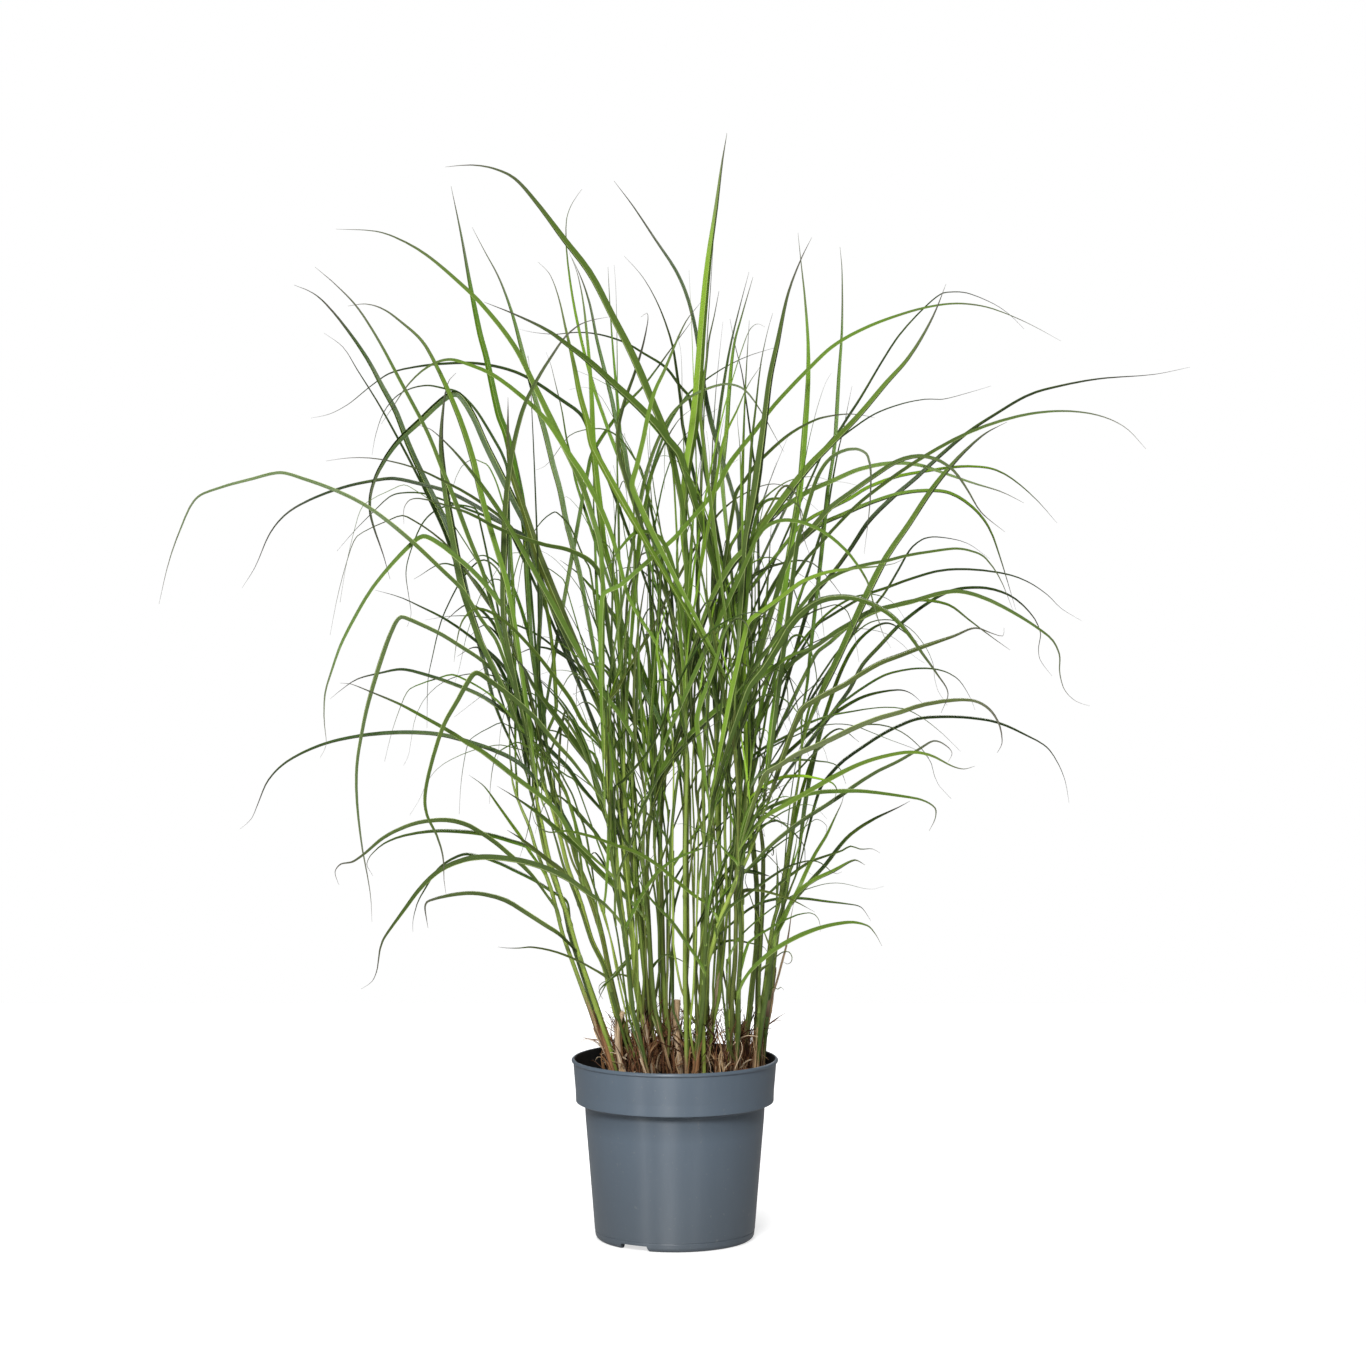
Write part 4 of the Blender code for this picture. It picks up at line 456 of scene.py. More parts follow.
def drawn_culms():
    """The culms that the photo shows, and one behind or before each that it hides."""
    chance = random.Random(SEED)
    culms = []
    for name, tone, (foot, top), route in rows(CULMS):
        line = smooth_line(route, STEP / MM_PER_PIXEL)
        depths = np.linspace(foot, top, len(line))
        culms.append(Strand(name, tone, *root_culm(line, depths), CULM_RADIUS * 2, 0))
    for first in list(culms):
        rise = np.linspace(0, 1, len(first.pixels))[:, None]
        side = chance.choice((-1, 1)) * chance.uniform(6, 16)
        back = chance.choice((-1, 1)) * chance.uniform(20, 30)
        if abs(first.depths[0] + back) > 44:
            back = -back
        spread = 1.0 + 1.6 * rise[:, 0]
        line = first.pixels + np.hstack([side * rise**1.5 + 2, 0 * rise])
        keep = max(8, round(len(line) * chance.uniform(0.7, 1.0)))
        depths = first.depths + back * spread
        line, depths = np.vstack([line[0] + (0, 9), line]), np.append(depths[0], depths)
        line, depths = root_culm(line[:keep], depths[:keep])
        culms.append(Strand("b" + first.name, "g", line, depths, CULM_RADIUS * 2, 0))
    return culms


def drawn_stubs():
    """Dead shoots that were cut or broke off low."""
    stubs = []
    for name, tone, (foot, top, width), route in rows(STUBS):
        line = smooth_line(route, STEP / MM_PER_PIXEL)
        depths = np.linspace(foot, top, len(line))
        stubs.append(Strand(name, tone, *root_culm(line, depths), width, 0))
    return stubs

# %% [markdown]
# ## Leaves on their culms
#
# A drawn leaf ends where it sinks into the crowd, so each one looks for the culm that its foot
# points at, and starts in that culm's sheath. Back culms bear few of the drawn leaves, so they get
# some more that lean away, which gives the clump its depth when it is seen from the side.

# %% Leaves from their culms
NEAR = 13.0
DEPTH_PULL = 0.3
MOST_LEAN = 0.85
DEEPER = 1.45
FEWEST_BLADES = 4
CROWDED = ("bk6", "bk9")


def join_blade(pixels, lean, culms):
    """The culm that a blade's foot points at, and the place on it where the blade leaves.

    A blade that leans forward is likelier to grow from a culm that stands in front.
    """
    foot = pixels[0]
    way = foot - pixels[min(3, len(pixels) - 1)]
    way = way / np.linalg.norm(way)
    best = (math.inf, None, 0)
    for culm in culms:
        line = culm.pixels
        gaps = line[8:] - foot
        far = np.linalg.norm(gaps, axis=1)
        ways = gaps / np.maximum(far, 1.0)[:, None]
        down = line[7:-1] - line[8:]
        down = down / np.linalg.norm(down, axis=1)[:, None]
        nearness = np.minimum(1, far / NEAR)
        turn_out = np.clip(1 - ways @ way, 0, 2) * nearness
        turn_in = np.clip(1 - (ways * down).sum(axis=1), 0, 2) * nearness
        cost = 0.35 * far + 70 * turn_out + 60 * turn_in + 11 * len(culm.leaves)
        cost -= DEPTH_PULL * culm.depths[8:] * np.clip(lean / 100, -1, 1)
        cost[gaps[:, 1] < -8] = math.inf
        place = int(np.argmin(cost))
        if cost[place] < best[0]:
            best = (cost[place], culm, place + 8)
    return best[1], best[2]


def grow_blade(name, tone, width, shown, lean, pixels, culms):
    """A blade from its sheath on a culm to its tip."""
    culm, place = join_blade(pixels, lean, culms)
    start = culm.pixels[place]
    free = np.linalg.norm(pixels - start, axis=1) > NEAR
    first = int(np.argmax(free))
    line = smooth_line([culm.pixels[place - 2], start, *pixels[first:]], STEP / MM_PER_PIXEL)
    steps = np.linalg.norm(np.diff(line, axis=0), axis=1)
    along = np.concatenate([[0], np.cumsum(steps)])
    most = MOST_LEAN * along[-1] * MM_PER_PIXEL
    lean = min(most, max(-most, DEEPER * lean))
    along = np.clip((along - NEAR) / (along[-1] - NEAR), 0, 1)
    depths = culm.depths[place] + lean * (0.25 * along + 0.75 * along**2)
    blade = Strand(name, tone, line, depths, width, shown, culm)
    blade.joint = place - 1
    culm.leaves.append(blade)
    return blade


def drawn_blades(table, culms):
    """The blades that a table draws, each grown from a culm."""
    blades = []
    for name, tone, (width, shown, lean), route in rows(table):
        pixels = np.array(route[::-1])
        blades.append(grow_blade(name, tone, width, shown * MM_PER_PIXEL, lean, pixels, culms))
    return blades


def heart_blades(culms):
    """Blades that lean back, for the back culms that bear few of the drawn ones."""
    chance = random.Random(SEED + 1)
    bend = [(0, 0), (0.12, 0.3), (0.35, 0.62), (0.7, 0.9), (1.1, 1.0), (1.5, 0.92)]
    blades = []
    for culm in culms:
        roomy = culm.depths[-1] > 0 and culm.name not in CROWDED
        fewest = FEWEST_BLADES if roomy else 1
        for number in range(fewest - len(culm.leaves)):
            top = culm.pixels[-1 - 5 * number]
            side = (top[0] - HEART) / 90 + chance.uniform(-0.6, 0.6)
            rise = chance.uniform(110, 240)
            reach = side * chance.uniform(25, 60)
            route = np.array([(top[0] + reach * x, top[1] - 10 - rise * y) for x, y in bend])
            lean = chance.uniform(90, 160)
            width = chance.uniform(6, 9)
            tone = chance.choice("gdo")
            name = f"{culm.name}h{number}"
            blades.append(grow_blade(name, tone, width, width * 0.7, lean, route, [culm]))
    return blades

# %% [markdown]
# ## Room between the leaves
#
# Leaves that cross in the photo must pass before or behind each other. Spacing pushes them apart
# along the sight line only, so the picture stays as it is, and tries another order where room lacks.

# %% How wide a leaf is, and how it turns
BLADE_TIP_WIDTH = 0.9
SIDEWAYS = 0.6
KEEL_ROOM = 1.2
JOINT = 9
STIFFNESS = 0.3
REACH = 15.6
CLEARANCE = 3.0


def taper(strand):
    """A blade's half width at each place, in mm."""
    u = np.linspace(0, 1, len(strand.depths))
    full = np.interp(u, [0, 0.04, 0.1, 0.2, 0.5, 0.8, 1], [0.2, 0.3, 0.65, 0.9, 1, 0.6, 0])
    return np.maximum(strand.width / 2 * full, BLADE_TIP_WIDTH / 2)


def facing(strand):
    """How squarely a blade shows its face at each place, from 0 to 1, less where it bends sideways."""
    line = strand.pixels * MM_PER_PIXEL
    ways = np.gradient(line, axis=0)
    ways = ways / np.linalg.norm(ways, axis=1)[:, None]
    turning = np.linalg.norm(np.gradient(ways, axis=0), axis=1) / STEP
    full = min(1.0, strand.shown / strand.width)
    face = np.minimum(full, SIDEWAYS / np.maximum(turning, 1e-6) / taper(strand))
    padded = np.pad(face, 2, mode="edge")
    return np.mean([padded[k : k + len(face)] for k in range(5)], axis=0)


def extents(strand):
    """Half of what a strand takes across and along the sight line at each place, in mm."""
    if strand.culm is None:
        thick = np.full(len(strand.depths), strand.width / 2)
        return thick, thick
    half, face = taper(strand), facing(strand)
    return half * face + 0.6, half * np.sqrt(1 - face**2) + KEEL_ROOM


def blurred(values, before, after, passes):
    """Values spread along their strands."""
    for _ in range(passes):
        values = 0.5 * values + 0.25 * (values[before] + values[after])
    return values

# %% Push crossing leaves apart
class Spacing:
    """Sets strands apart by moving them along the sight line, which keeps the view as it is.

    loose says how freely each place of a strand moves, and spread how far along the strand it pulls.
    """

    def __init__(self, strands, loose, spread):
        self.strands, self.spread = strands, spread
        counts = [len(s.depths) for s in strands]
        self.depths = np.concatenate([s.depths for s in strands])
        self.rest = self.depths.copy()
        self.free = np.concatenate([loose(s) for s in strands])
        own = {id(s): i for i, s in enumerate(strands)}
        rank = np.repeat(np.arange(len(strands)), counts)
        family = np.repeat([own[id(s.culm or s)] for s in strands], counts)
        place = np.concatenate([np.arange(count) for count in counts])
        self.ends = np.cumsum(counts)
        self.before = np.maximum(np.arange(len(place)) - 1, 0)
        self.after = np.minimum(np.arange(len(place)) + 1, len(place) - 1)
        self.before[place == 0] += 1
        self.after[self.ends - 1] -= 1
        one, two, far = self.neighbours()
        across, deep = (np.concatenate(sizes) for sizes in zip(*map(extents, strands)))
        room = across[one] + across[two] + CLEARANCE + STEP / 2
        foot = np.where(family == rank, JOINT, place) < JOINT
        kin = (family[one] == family[two]) & (foot[one] | foot[two])
        kin |= (rank[one] == rank[two]) & (np.abs(place[one] - place[two]) < 6)
        matter = ~kin & (far < room) & (self.free[one] + self.free[two] > 0)
        self.one, self.two, far, room = one[matter], two[matter], far[matter], room[matter]
        self.need = (deep[self.one] + deep[self.two] + CLEARANCE) * np.sqrt(1 - (far / room) ** 2)
        stem = np.where(place < JOINT + 2, family, rank)
        low = np.minimum(stem[self.one], stem[self.two])
        high = np.maximum(stem[self.one], stem[self.two])
        self.turned = np.where(stem[self.one] == low, 1.0, -1.0)
        self.pairs, self.group = np.unique(low * len(strands) + high, return_inverse=True)

    def neighbours(self):
        """Pairs of places that lie near each other in the photo, and how far apart in mm."""
        pixels = np.vstack([s.pixels for s in self.strands])
        tree = kdtree.KDTree(len(pixels))
        for index, (x, y) in enumerate(pixels):
            tree.insert((x, y, 0), index)
        tree.balance()
        near = []
        for index, (x, y) in enumerate(pixels):
            found = tree.find_range((x, y, 0), REACH / MM_PER_PIXEL)
            near += [(index, other, far) for _, other, far in found if other > index]
        one, two, far = (np.array(column) for column in zip(*near))
        return one.astype(int), two.astype(int), far * MM_PER_PIXEL

    def order(self):
        """Which of each pair lies behind, from where they are: 1 for the first, -1 for the second."""
        gap = self.depths[self.one] - self.depths[self.two]
        stiff = np.where(self.free[self.one] * self.free[self.two] < 0.3, 7, 1)
        mean = np.bincount(self.group, self.turned * stiff * gap / (5 + np.abs(gap)))
        return np.where(mean >= 0, 1.0, -1.0)

    def ease(self, depths, order, rounds):
        """The depths after some rounds of pushing apart, and how much room each pair still lacks."""
        one, two = self.one, self.two
        sign = order[self.group] * self.turned
        total = self.free[one] + self.free[two]
        for _ in range(rounds):
            slope = np.minimum(1.5, np.abs(depths[self.after] - depths[self.before]) / (2 * STEP))
            wanted = self.need * (1 + 0.4 * (slope[one] + slope[two]))
            lack = wanted - sign * (depths[one] - depths[two])
            short = lack > 0
            push = (sign * lack / total)[short]
            a, b = one[short], two[short]
            moved = np.bincount(a, push * self.free[a], len(depths))
            moved -= np.bincount(b, push * self.free[b], len(depths))
            count = np.bincount(a, None, len(depths)) + np.bincount(b, None, len(depths))
            touched = blurred((count > 0) * 1.0, self.before, self.after, self.spread)
            moved = blurred(moved / np.maximum(count, 1), self.before, self.after, self.spread)
            depths = depths + 0.8 * self.free * moved / (touched + 0.12)
            shift = depths - self.rest
            eased = blurred(shift, self.before, self.after, 3)
            depths = depths + STIFFNESS * self.free * (eased - shift)
        return depths, self.need - sign * (depths[one] - depths[two])

    def settle(self, rounds, tries):
        """Eases the strands apart, and tries pairs the other way round while some lack room."""
        chance = random.Random(SEED + 2)
        order = self.order()
        self.depths, lack = self.ease(self.depths, order, rounds)
        score = np.maximum(0, lack - CLEARANCE / 2).sum()
        for _ in range(tries):
            if score < 2:
                break
            worst = np.zeros(len(self.pairs))
            np.maximum.at(worst, self.group, lack)
            bad = np.nonzero(worst > CLEARANCE / 2)[0].tolist()
            swapped = chance.sample(bad, min(len(bad), chance.choice((1, 1, 1, 2, 3))))
            trial = order.copy()
            trial[swapped] *= -1
            depths, left = self.ease(self.depths, trial, 70)
            new_score = np.maximum(0, left - CLEARANCE / 2).sum()
            if new_score < score * 0.995:
                self.depths, lack, score, order = depths, left, new_score, trial
        for strand, end in zip(self.strands, self.ends):
            strand.depths = self.depths[end - len(strand.depths) : end].copy()


def looseness(strand):
    """How freely each place moves once the culms stand: a culm not at all, a blade past its foot."""
    if strand.culm is None:
        return np.zeros(len(strand.depths))
    return np.clip((np.arange(len(strand.depths)) - 3) / 8, 0, 1)


def grow_plant():
    """Every culm, stub and blade, clear of one another."""
    culms, stubs = drawn_culms(), drawn_stubs()
    Spacing(culms + stubs, lambda strand: np.ones(len(strand.depths)), 24).settle(400, 60)
    for strand in culms + stubs:
        strand.pixels, strand.depths = root_culm(strand.pixels, strand.depths)
    blades = drawn_blades(LEAVES, culms) + heart_blades(culms)
    Spacing(culms + stubs + blades, looseness, 8).settle(500, 120)
    return culms, stubs, blades


culms, stubs, blades = grow_plant()
print("culms, stubs, leaves:", len(culms), len(stubs), len(blades))

# %% [markdown]
# A few hair-thin curls near the pot are too fine for a solid. They are drawn in the same way and
# grown last, so that they move nothing else.

# %% Curls
CURLS = """
h1 g 3 2 -10: 598 1001, 602 992, 611 977, 623 963, 634 953
h2 o 2 1 -10: 601 994, 599 989, 600 985, 604 982, 610 980, 618 975
h3 o 2 1.5 -20: 782 961, 787 964, 791 962, 792 957, 789 952, 783 952, 777 956, 770 963, 762 970
h4 o 2 1 -20: 784 990, 781 987, 778 989, 774 987, 770 990, 764 996
h5 d 3 2 -30: 690 968, 684 962, 676 958, 668 955, 662 957, 656 962, 650 970
h6 o 2 1.5 10: 757 872, 752 868, 747 872, 745 880, 748 890, 752 902
"""
blades += drawn_blades(CURLS, culms)
print("leaves with curls:", len(blades))

# %% [markdown]
# ## Directions along a leaf
#
# A leaf's section needs three directions at every place: forward, across and out of its upper side.
# The foot is moved onto the straight runs of the culm's solid, so that leaf and solid share a joint.

# %% Directions, and the foot on the culm
CULM_TOLERANCE = 1.5
ROOTED = 3
FOOT_ASIDE = 0.25


def unit(vectors):
    """Vectors scaled to a length of 1."""
    return vectors / np.maximum(np.linalg.norm(vectors, axis=-1, keepdims=True), 1e-12)


def frames(points, face, lean):
    """Directions along a blade: forward, across it, and out of its upper side."""
    forward = unit(np.gradient(points, axis=0))
    to_eye = unit(EYE_AT - points)
    across = unit(np.cross(forward, to_eye))
    out = np.cross(across, forward)
    bend = forward[-1] - forward[0]
    leftward = 1.0 if bend @ RIGHT < 0 else -1.0
    shows_top = 1.0 if lean > 0 else -1.0
    edge = np.sqrt(1 - face**2)[:, None]
    face = face[:, None]
    wide = face * across - leftward * shows_top * edge * out
    upper = shows_top * face * out + leftward * edge * across
    return forward, wide, upper


def stations(points, tolerance):
    """Places to keep on a line, so that straight runs between them stay within the tolerance."""
    kept = [0, len(points) - 1]
    checked = 0
    while checked < len(kept) - 1:
        first, last = kept[checked], kept[checked + 1]
        chord = points[last] - points[first]
        offset = points[first : last + 1] - points[first]
        along = np.clip(offset @ chord / max(chord @ chord, 1e-12), 0, 1)
        stray = np.linalg.norm(offset - along[:, None] * chord, axis=1)
        if stray.max() > tolerance * MM:
            kept.insert(checked + 1, first + int(np.argmax(stray)))
        else:
            checked += 1
    return kept


def rooted(points, blade):
    """A blade's points, with its foot moved onto the culm's straight runs."""
    stem = blade.culm.points()
    kept = stations(stem, CULM_TOLERANCE)
    shift = np.zeros_like(points)
    turn = 2.4 * blade.culm.leaves.index(blade)
    aside = np.array((math.cos(turn), math.sin(turn), 0.7)) * FOOT_ASIDE * MM
    for k in range(ROOTED):
        place = min(blade.joint - 1 + k, len(stem) - 1)
        on_culm = [np.interp(place, kept, stem[kept, axis]) for axis in range(3)]
        shift[k] = np.array(on_culm) - points[k] + aside
    for k in range(ROOTED, ROOTED + 4):
        shift[k] = shift[ROOTED - 1] * (ROOTED + 4 - k) / 5
    return points + shift

# %% [markdown]
# ## One builder for every long thin thing
#
# Leaves, culms, dead sheaths and dry litter are all rings of corners, joined into a closed skin.
# Each corner also carries where it lies on the piece, its tone and how near the tip it is, and the
# finishes read these. That needs no unwrapping, and a leaf's midrib follows the leaf by itself.

# %% Skins from rings of corners
class Skin:
    """Rings of corners gathered into one mesh, with what the finishes need at each corner.

    A tone is a colour, and for a culm a fourth number too: up to how many decimetres it has dried.
    """

    def __init__(self):
        self.corners, self.faces, self.finishes = [], [], []
        self.lay, self.tone, self.reach = [], [], []
        self.count = 0

    def add(self, rings, lay, tone, reach, finish):
        """A closed skin through rings. lay, and reach at each ring, say where its corners lie."""
        rings = np.asarray(rings)
        number, around = rings.shape[:2]
        start = self.count
        index = start + np.arange(number * around).reshape(number, around)
        turned = np.roll(index, -1, axis=1)
        walls = np.stack([index[:-1], turned[:-1], turned[1:], index[1:]], axis=-1).reshape(-1, 4)
        low, mid = rings[number // 2], rings[number // 2].mean(axis=0)
        way = rings[min(number // 2 + 1, number - 1)].mean(axis=0) - mid
        winding = sum(np.cross(a - mid, b - mid) @ way for a, b in zip(low, np.roll(low, -1, axis=0)))
        if winding < 0:
            walls = walls[:, ::-1]
        ends = [index[0][::-1], index[-1]] if winding >= 0 else [index[0], index[-1][::-1]]
        self.faces += walls.tolist() + [end.tolist() for end in ends]
        self.finishes += [finish] * (len(walls) + 2)
        self.corners.append(rings.reshape(-1, 3))
        self.lay.append(np.asarray(lay, float).reshape(-1, 3))
        self.tone.append(np.broadcast_to([*tone, 0.0][:4], (number * around, 4)))
        self.reach.append(np.repeat(reach, around))
        self.count += number * around

    def piece(self, name, finishes, sharp=50):
        """The gathered skins as one object that rides on the plant."""
        mesh = bpy.data.meshes.new(name)
        mesh.from_pydata(np.vstack(self.corners).tolist(), [], self.faces)
        for finish in finishes:
            mesh.materials.append(finish)
        mesh.polygons.foreach_set("material_index", self.finishes)
        lay = mesh.attributes.new("lay", "FLOAT_VECTOR", "POINT")
        lay.data.foreach_set("vector", np.vstack(self.lay).ravel())
        tone = mesh.attributes.new("tone", "FLOAT_COLOR", "POINT")
        tone.data.foreach_set("color", np.vstack(self.tone).ravel())
        reach = mesh.attributes.new("reach", "FLOAT", "POINT")
        reach.data.foreach_set("value", np.concatenate(self.reach))
        mesh.polygons.foreach_set("use_smooth", [True] * len(mesh.polygons))
        mesh.set_sharp_from_angle(angle=math.radians(sharp))
        mesh.update()
        thing = bpy.data.objects.new(name, mesh)
        bpy.context.scene.collection.objects.link(thing)
        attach(thing, "root")
        return thing


def finer(points):
    """Twice as many places on a line, on a smooth curve through the old ones."""
    before, after = np.vstack([points[:1], points[:-1]]), np.vstack([points[1:], points[-1:]])
    heading = (after - before) / 2
    middle = (points[:-1] + points[1:]) / 2 + (heading[:-1] - heading[1:]) / 8
    line = np.empty((2 * len(points) - 1, points.shape[1]))
    line[0::2], line[1::2] = points, middle
    return line


def kept_places(points, tolerance, longest):
    """Places where a line bends, and no gap between them longer than a number of places."""
    kept = set(stations(points, tolerance)) | set(range(0, len(points), longest))
    return sorted(kept)


def wander(chance, count, wave):
    """A smooth random course between -1 and 1 over some places, with a wave of so many places."""
    knots = [chance.uniform(-1, 1) for _ in range(int(count / wave) + 3)]
    return np.interp(np.arange(count), np.arange(len(knots)) * wave, knots)

# %% [markdown]
# ## Finishes
#
# A finish is a few nodes that start from the lay, tone and reach of a corner. The helper adds nodes
# by name and plugs in numbers or other nodes, so each recipe reads from the colour to the bump.

# %% Helper for finishes
class Finish:
    """A material whose nodes are added one after another."""

    def __init__(self, name, roughness, gloss=0.5):
        self.material = bpy.data.materials.new(name)
        self.material.use_nodes = True
        self.tree = self.material.node_tree
        self.shader = self.tree.nodes["Principled BSDF"]
        self.shader.inputs["Roughness"].default_value = roughness
        self.shader.inputs["Specular IOR Level"].default_value = gloss

    def feed(self, socket, value):
        """Puts a number, a colour or another node's outcome into a socket."""
        if isinstance(value, bpy.types.NodeSocket):
            self.tree.links.new(value, socket)
        elif isinstance(value, tuple) and len(value) == 3 and socket.type == "RGBA":
            socket.default_value = (*value, 1.0)
        else:
            socket.default_value = value

    def node(self, kind, feeds, **settings):
        """A new node with its settings, and what feeds its sockets."""
        made = self.tree.nodes.new(kind)
        for key, value in settings.items():
            setattr(made, key, value)
        for key, value in feeds.items():
            self.feed(made.inputs[key], value)
        return made

    def read(self, name, outcome):
        """What a corner carries, by its name."""
        attribute = self.node("ShaderNodeAttribute", {}, attribute_name=name)
        return attribute.outputs[outcome]

    def sum(self, operation, a, b=0.0):
        """Two numbers joined by an operation."""
        return self.node("ShaderNodeMath", {0: a, 1: b}, operation=operation).outputs[0]

    def span(self, value, low, high, start=0.0, end=1.0):
        """The value's place between low and high, as a number from start to end."""
        feeds = {"Value": value, 1: low, 2: high, 3: start, 4: end}
        return self.node("ShaderNodeMapRange", feeds, clamp=True).outputs[0]

    def blend(self, amount, a, b, way="MIX"):
        """Colour a, with b over it by an amount."""
        made = self.node("ShaderNodeMix", {}, data_type="RGBA", blend_type=way)
        for socket, value in ((0, amount), (6, a), (7, b)):
            self.feed(made.inputs[socket], value)
        return made.outputs[2]

    def grain(self, place, stretch, scale, detail=3.0, rough=0.55):
        """Cloudy noise, stretched along the axes of a place."""
        moved = self.node("ShaderNodeVectorMath", {0: place, 1: stretch}, operation="MULTIPLY")
        feeds = {"Vector": moved.outputs[0], "Scale": scale, "Detail": detail, "Roughness": rough}
        return self.node("ShaderNodeTexNoise", feeds).outputs[0]

    def relief(self, height, strength, distance):
        """A bump from a height."""
        feeds = {"Height": height, "Strength": strength, "Distance": distance}
        bump = self.node("ShaderNodeBump", feeds)
        self.feed(self.shader.inputs["Normal"], bump.outputs[0])

    def shaded(self, tone, shade):
        """A tone multiplied by a darker one, for the dark parts of a pattern and for painted shade."""
        return self.blend(1.0, tone, shade, "MULTIPLY")

    def colour(self, value):
        """Sets the colour."""
        self.feed(self.shader.inputs["Base Color"], value)

    def roughness(self, value):
        """Sets how rough the surface is."""
        self.feed(self.shader.inputs["Roughness"], value)

    def apart(self, place):
        """The three parts of a place."""
        split = self.node("ShaderNodeSeparateXYZ", {0: place})
        return split.outputs

# %% [markdown]
# ## The leaf's finish
#
# A grass leaf is green with a pale midrib, fine veins along it, a paler underside, and a tip that dries to
# grey-purple. One half is also darkened as painted shade. lay holds the place across the leaf from -1
# to 1, the side (1 above, -1 below) and the length in metres from the sheath.

# %% Leaf green
def leaf_green():
    """A green leaf with midrib and veins, drying at its tip."""
    look = Finish("leaf_green", 0.45, 0.33)
    lay, tone, reach = look.read("lay", "Vector"), look.read("tone", "Color"), look.read("reach", "Fac")
    across, side, _ = look.apart(lay)
    veins = look.grain(lay, (1.0, 0.0, 1.2), 13.0, 2.0, 0.5)
    clouds = look.grain(lay, (0.3, 1.0, 14.0), 1.6, 3.0, 0.6)
    flecks = look.grain(lay, (0.9, 1.0, 160.0), 3.0, 2.0, 0.7)
    body = look.blend(look.span(veins, 0.35, 0.68), tone, look.shaded(tone, (0.6, 0.62, 0.6)))
    body = look.blend(look.span(clouds, 0.48, 0.75, 0, 0.35), body, (0.22, 0.31, 0.025))
    # Painted shade: one half of the leaf is darkened.
    painted_shade_half = look.span(across, -0.04, 0.04, 0.0, 0.65)
    body = look.blend(painted_shade_half, body, look.shaded(body, (0.45, 0.55, 0.5)))
    below = look.span(side, 0.2, -0.2, 0.0, 0.3)
    body = look.blend(below, body, (0.14, 0.18, 0.05))
    off_rib = look.sum("ABSOLUTE", across)
    rib = look.span(off_rib, 0.06, 0.14, 0.65, 0.0)
    rib = look.sum("MULTIPLY", rib, look.span(reach, 0.55, 0.95, 1.0, 0.0))
    body = look.blend(rib, body, (0.46, 0.56, 0.20))
    edge = look.span(off_rib, 0.9, 1.0, 0.0, 0.35)
    body = look.blend(edge, body, (0.16, 0.14, 0.07))
    body = look.blend(look.span(reach, 0.0, 0.12, 0.6, 0.0), body, (0.30, 0.42, 0.09))
    drying = look.sum("ADD", reach, look.span(clouds, 0.3, 0.7, -0.06, 0.06))
    body = look.blend(look.span(drying, 0.78, 0.97, 0.0, 0.85), body, (0.125, 0.105, 0.10))
    body = look.blend(look.span(flecks, 0.7, 0.78, 0.0, 0.5), body, (0.30, 0.20, 0.08))
    look.colour(body)
    look.roughness(look.span(veins, 0.3, 0.7, 0.34, 0.52))
    ridges = look.sum("ADD", look.sum("MULTIPLY", veins, 0.8), look.sum("MULTIPLY", rib, -1.2))
    look.relief(ridges, 0.5, 0.0004)
    return look.material

# %% [markdown]
# ## Culm and dry finishes
#
# A culm is wrapped in leaf sheaths: bright yellow-green, finely ribbed, brownish low down where dried, and
# darker at the soil, as painted shade. Dead sheaths and litter are tan to brown with dark streaks and grey
# bloom.

# %% Culm green and straw
def culm_green():
    """A culm in its ribbed sheaths, dried up to a height that its tone carries."""
    look = Finish("culm_green", 0.42, 0.4)
    lay, tone = look.read("lay", "Vector"), look.read("tone", "Color")
    length = look.apart(lay)[2]
    ribs = look.grain(lay, (1.0, 1.0, 0.5), 7.0, 2.0, 0.5)
    clouds = look.grain(lay, (0.5, 0.5, 18.0), 1.3, 3.0, 0.6)
    body = look.blend(look.span(ribs, 0.38, 0.66), tone, look.shaded(tone, (0.74, 0.78, 0.7)))
    body = look.blend(look.span(clouds, 0.45, 0.75, 0.0, 0.35), body, (0.34, 0.44, 0.12))
    torn = look.grain(lay, (1.3, 1.3, 5.0), 2.6, 3.0, 0.6)
    straw = look.blend(look.span(ribs, 0.42, 0.58), (0.62, 0.42, 0.24), (0.09, 0.040, 0.018))
    dried = look.sum("MULTIPLY", look.read("tone", "Alpha"), look.span(torn, 0.3, 0.7, 0.05, 0.17))
    dry = look.span(look.sum("SUBTRACT", length, dried), -0.002, 0.004, 1.0, 0.0)
    dry = look.sum("MULTIPLY", dry, look.span(dried, 0.001, 0.01))
    body = look.blend(dry, body, straw)
    # Painted shade: the culm darkens over its lowest few centimetres, down among the litter.
    body = look.blend(look.span(length, 0.008, 0.03, 0.6, 0.0), body, (0.09, 0.05, 0.02))
    spots = look.grain(lay, (1.0, 1.0, 90.0), 2.4, 2.0, 0.7)
    body = look.blend(look.span(spots, 0.68, 0.76, 0.0, 0.6), body, (0.25, 0.16, 0.07))
    look.colour(body)
    look.roughness(look.span(ribs, 0.3, 0.7, 0.34, 0.52))
    look.relief(ribs, 0.45, 0.0004)
    return look.material


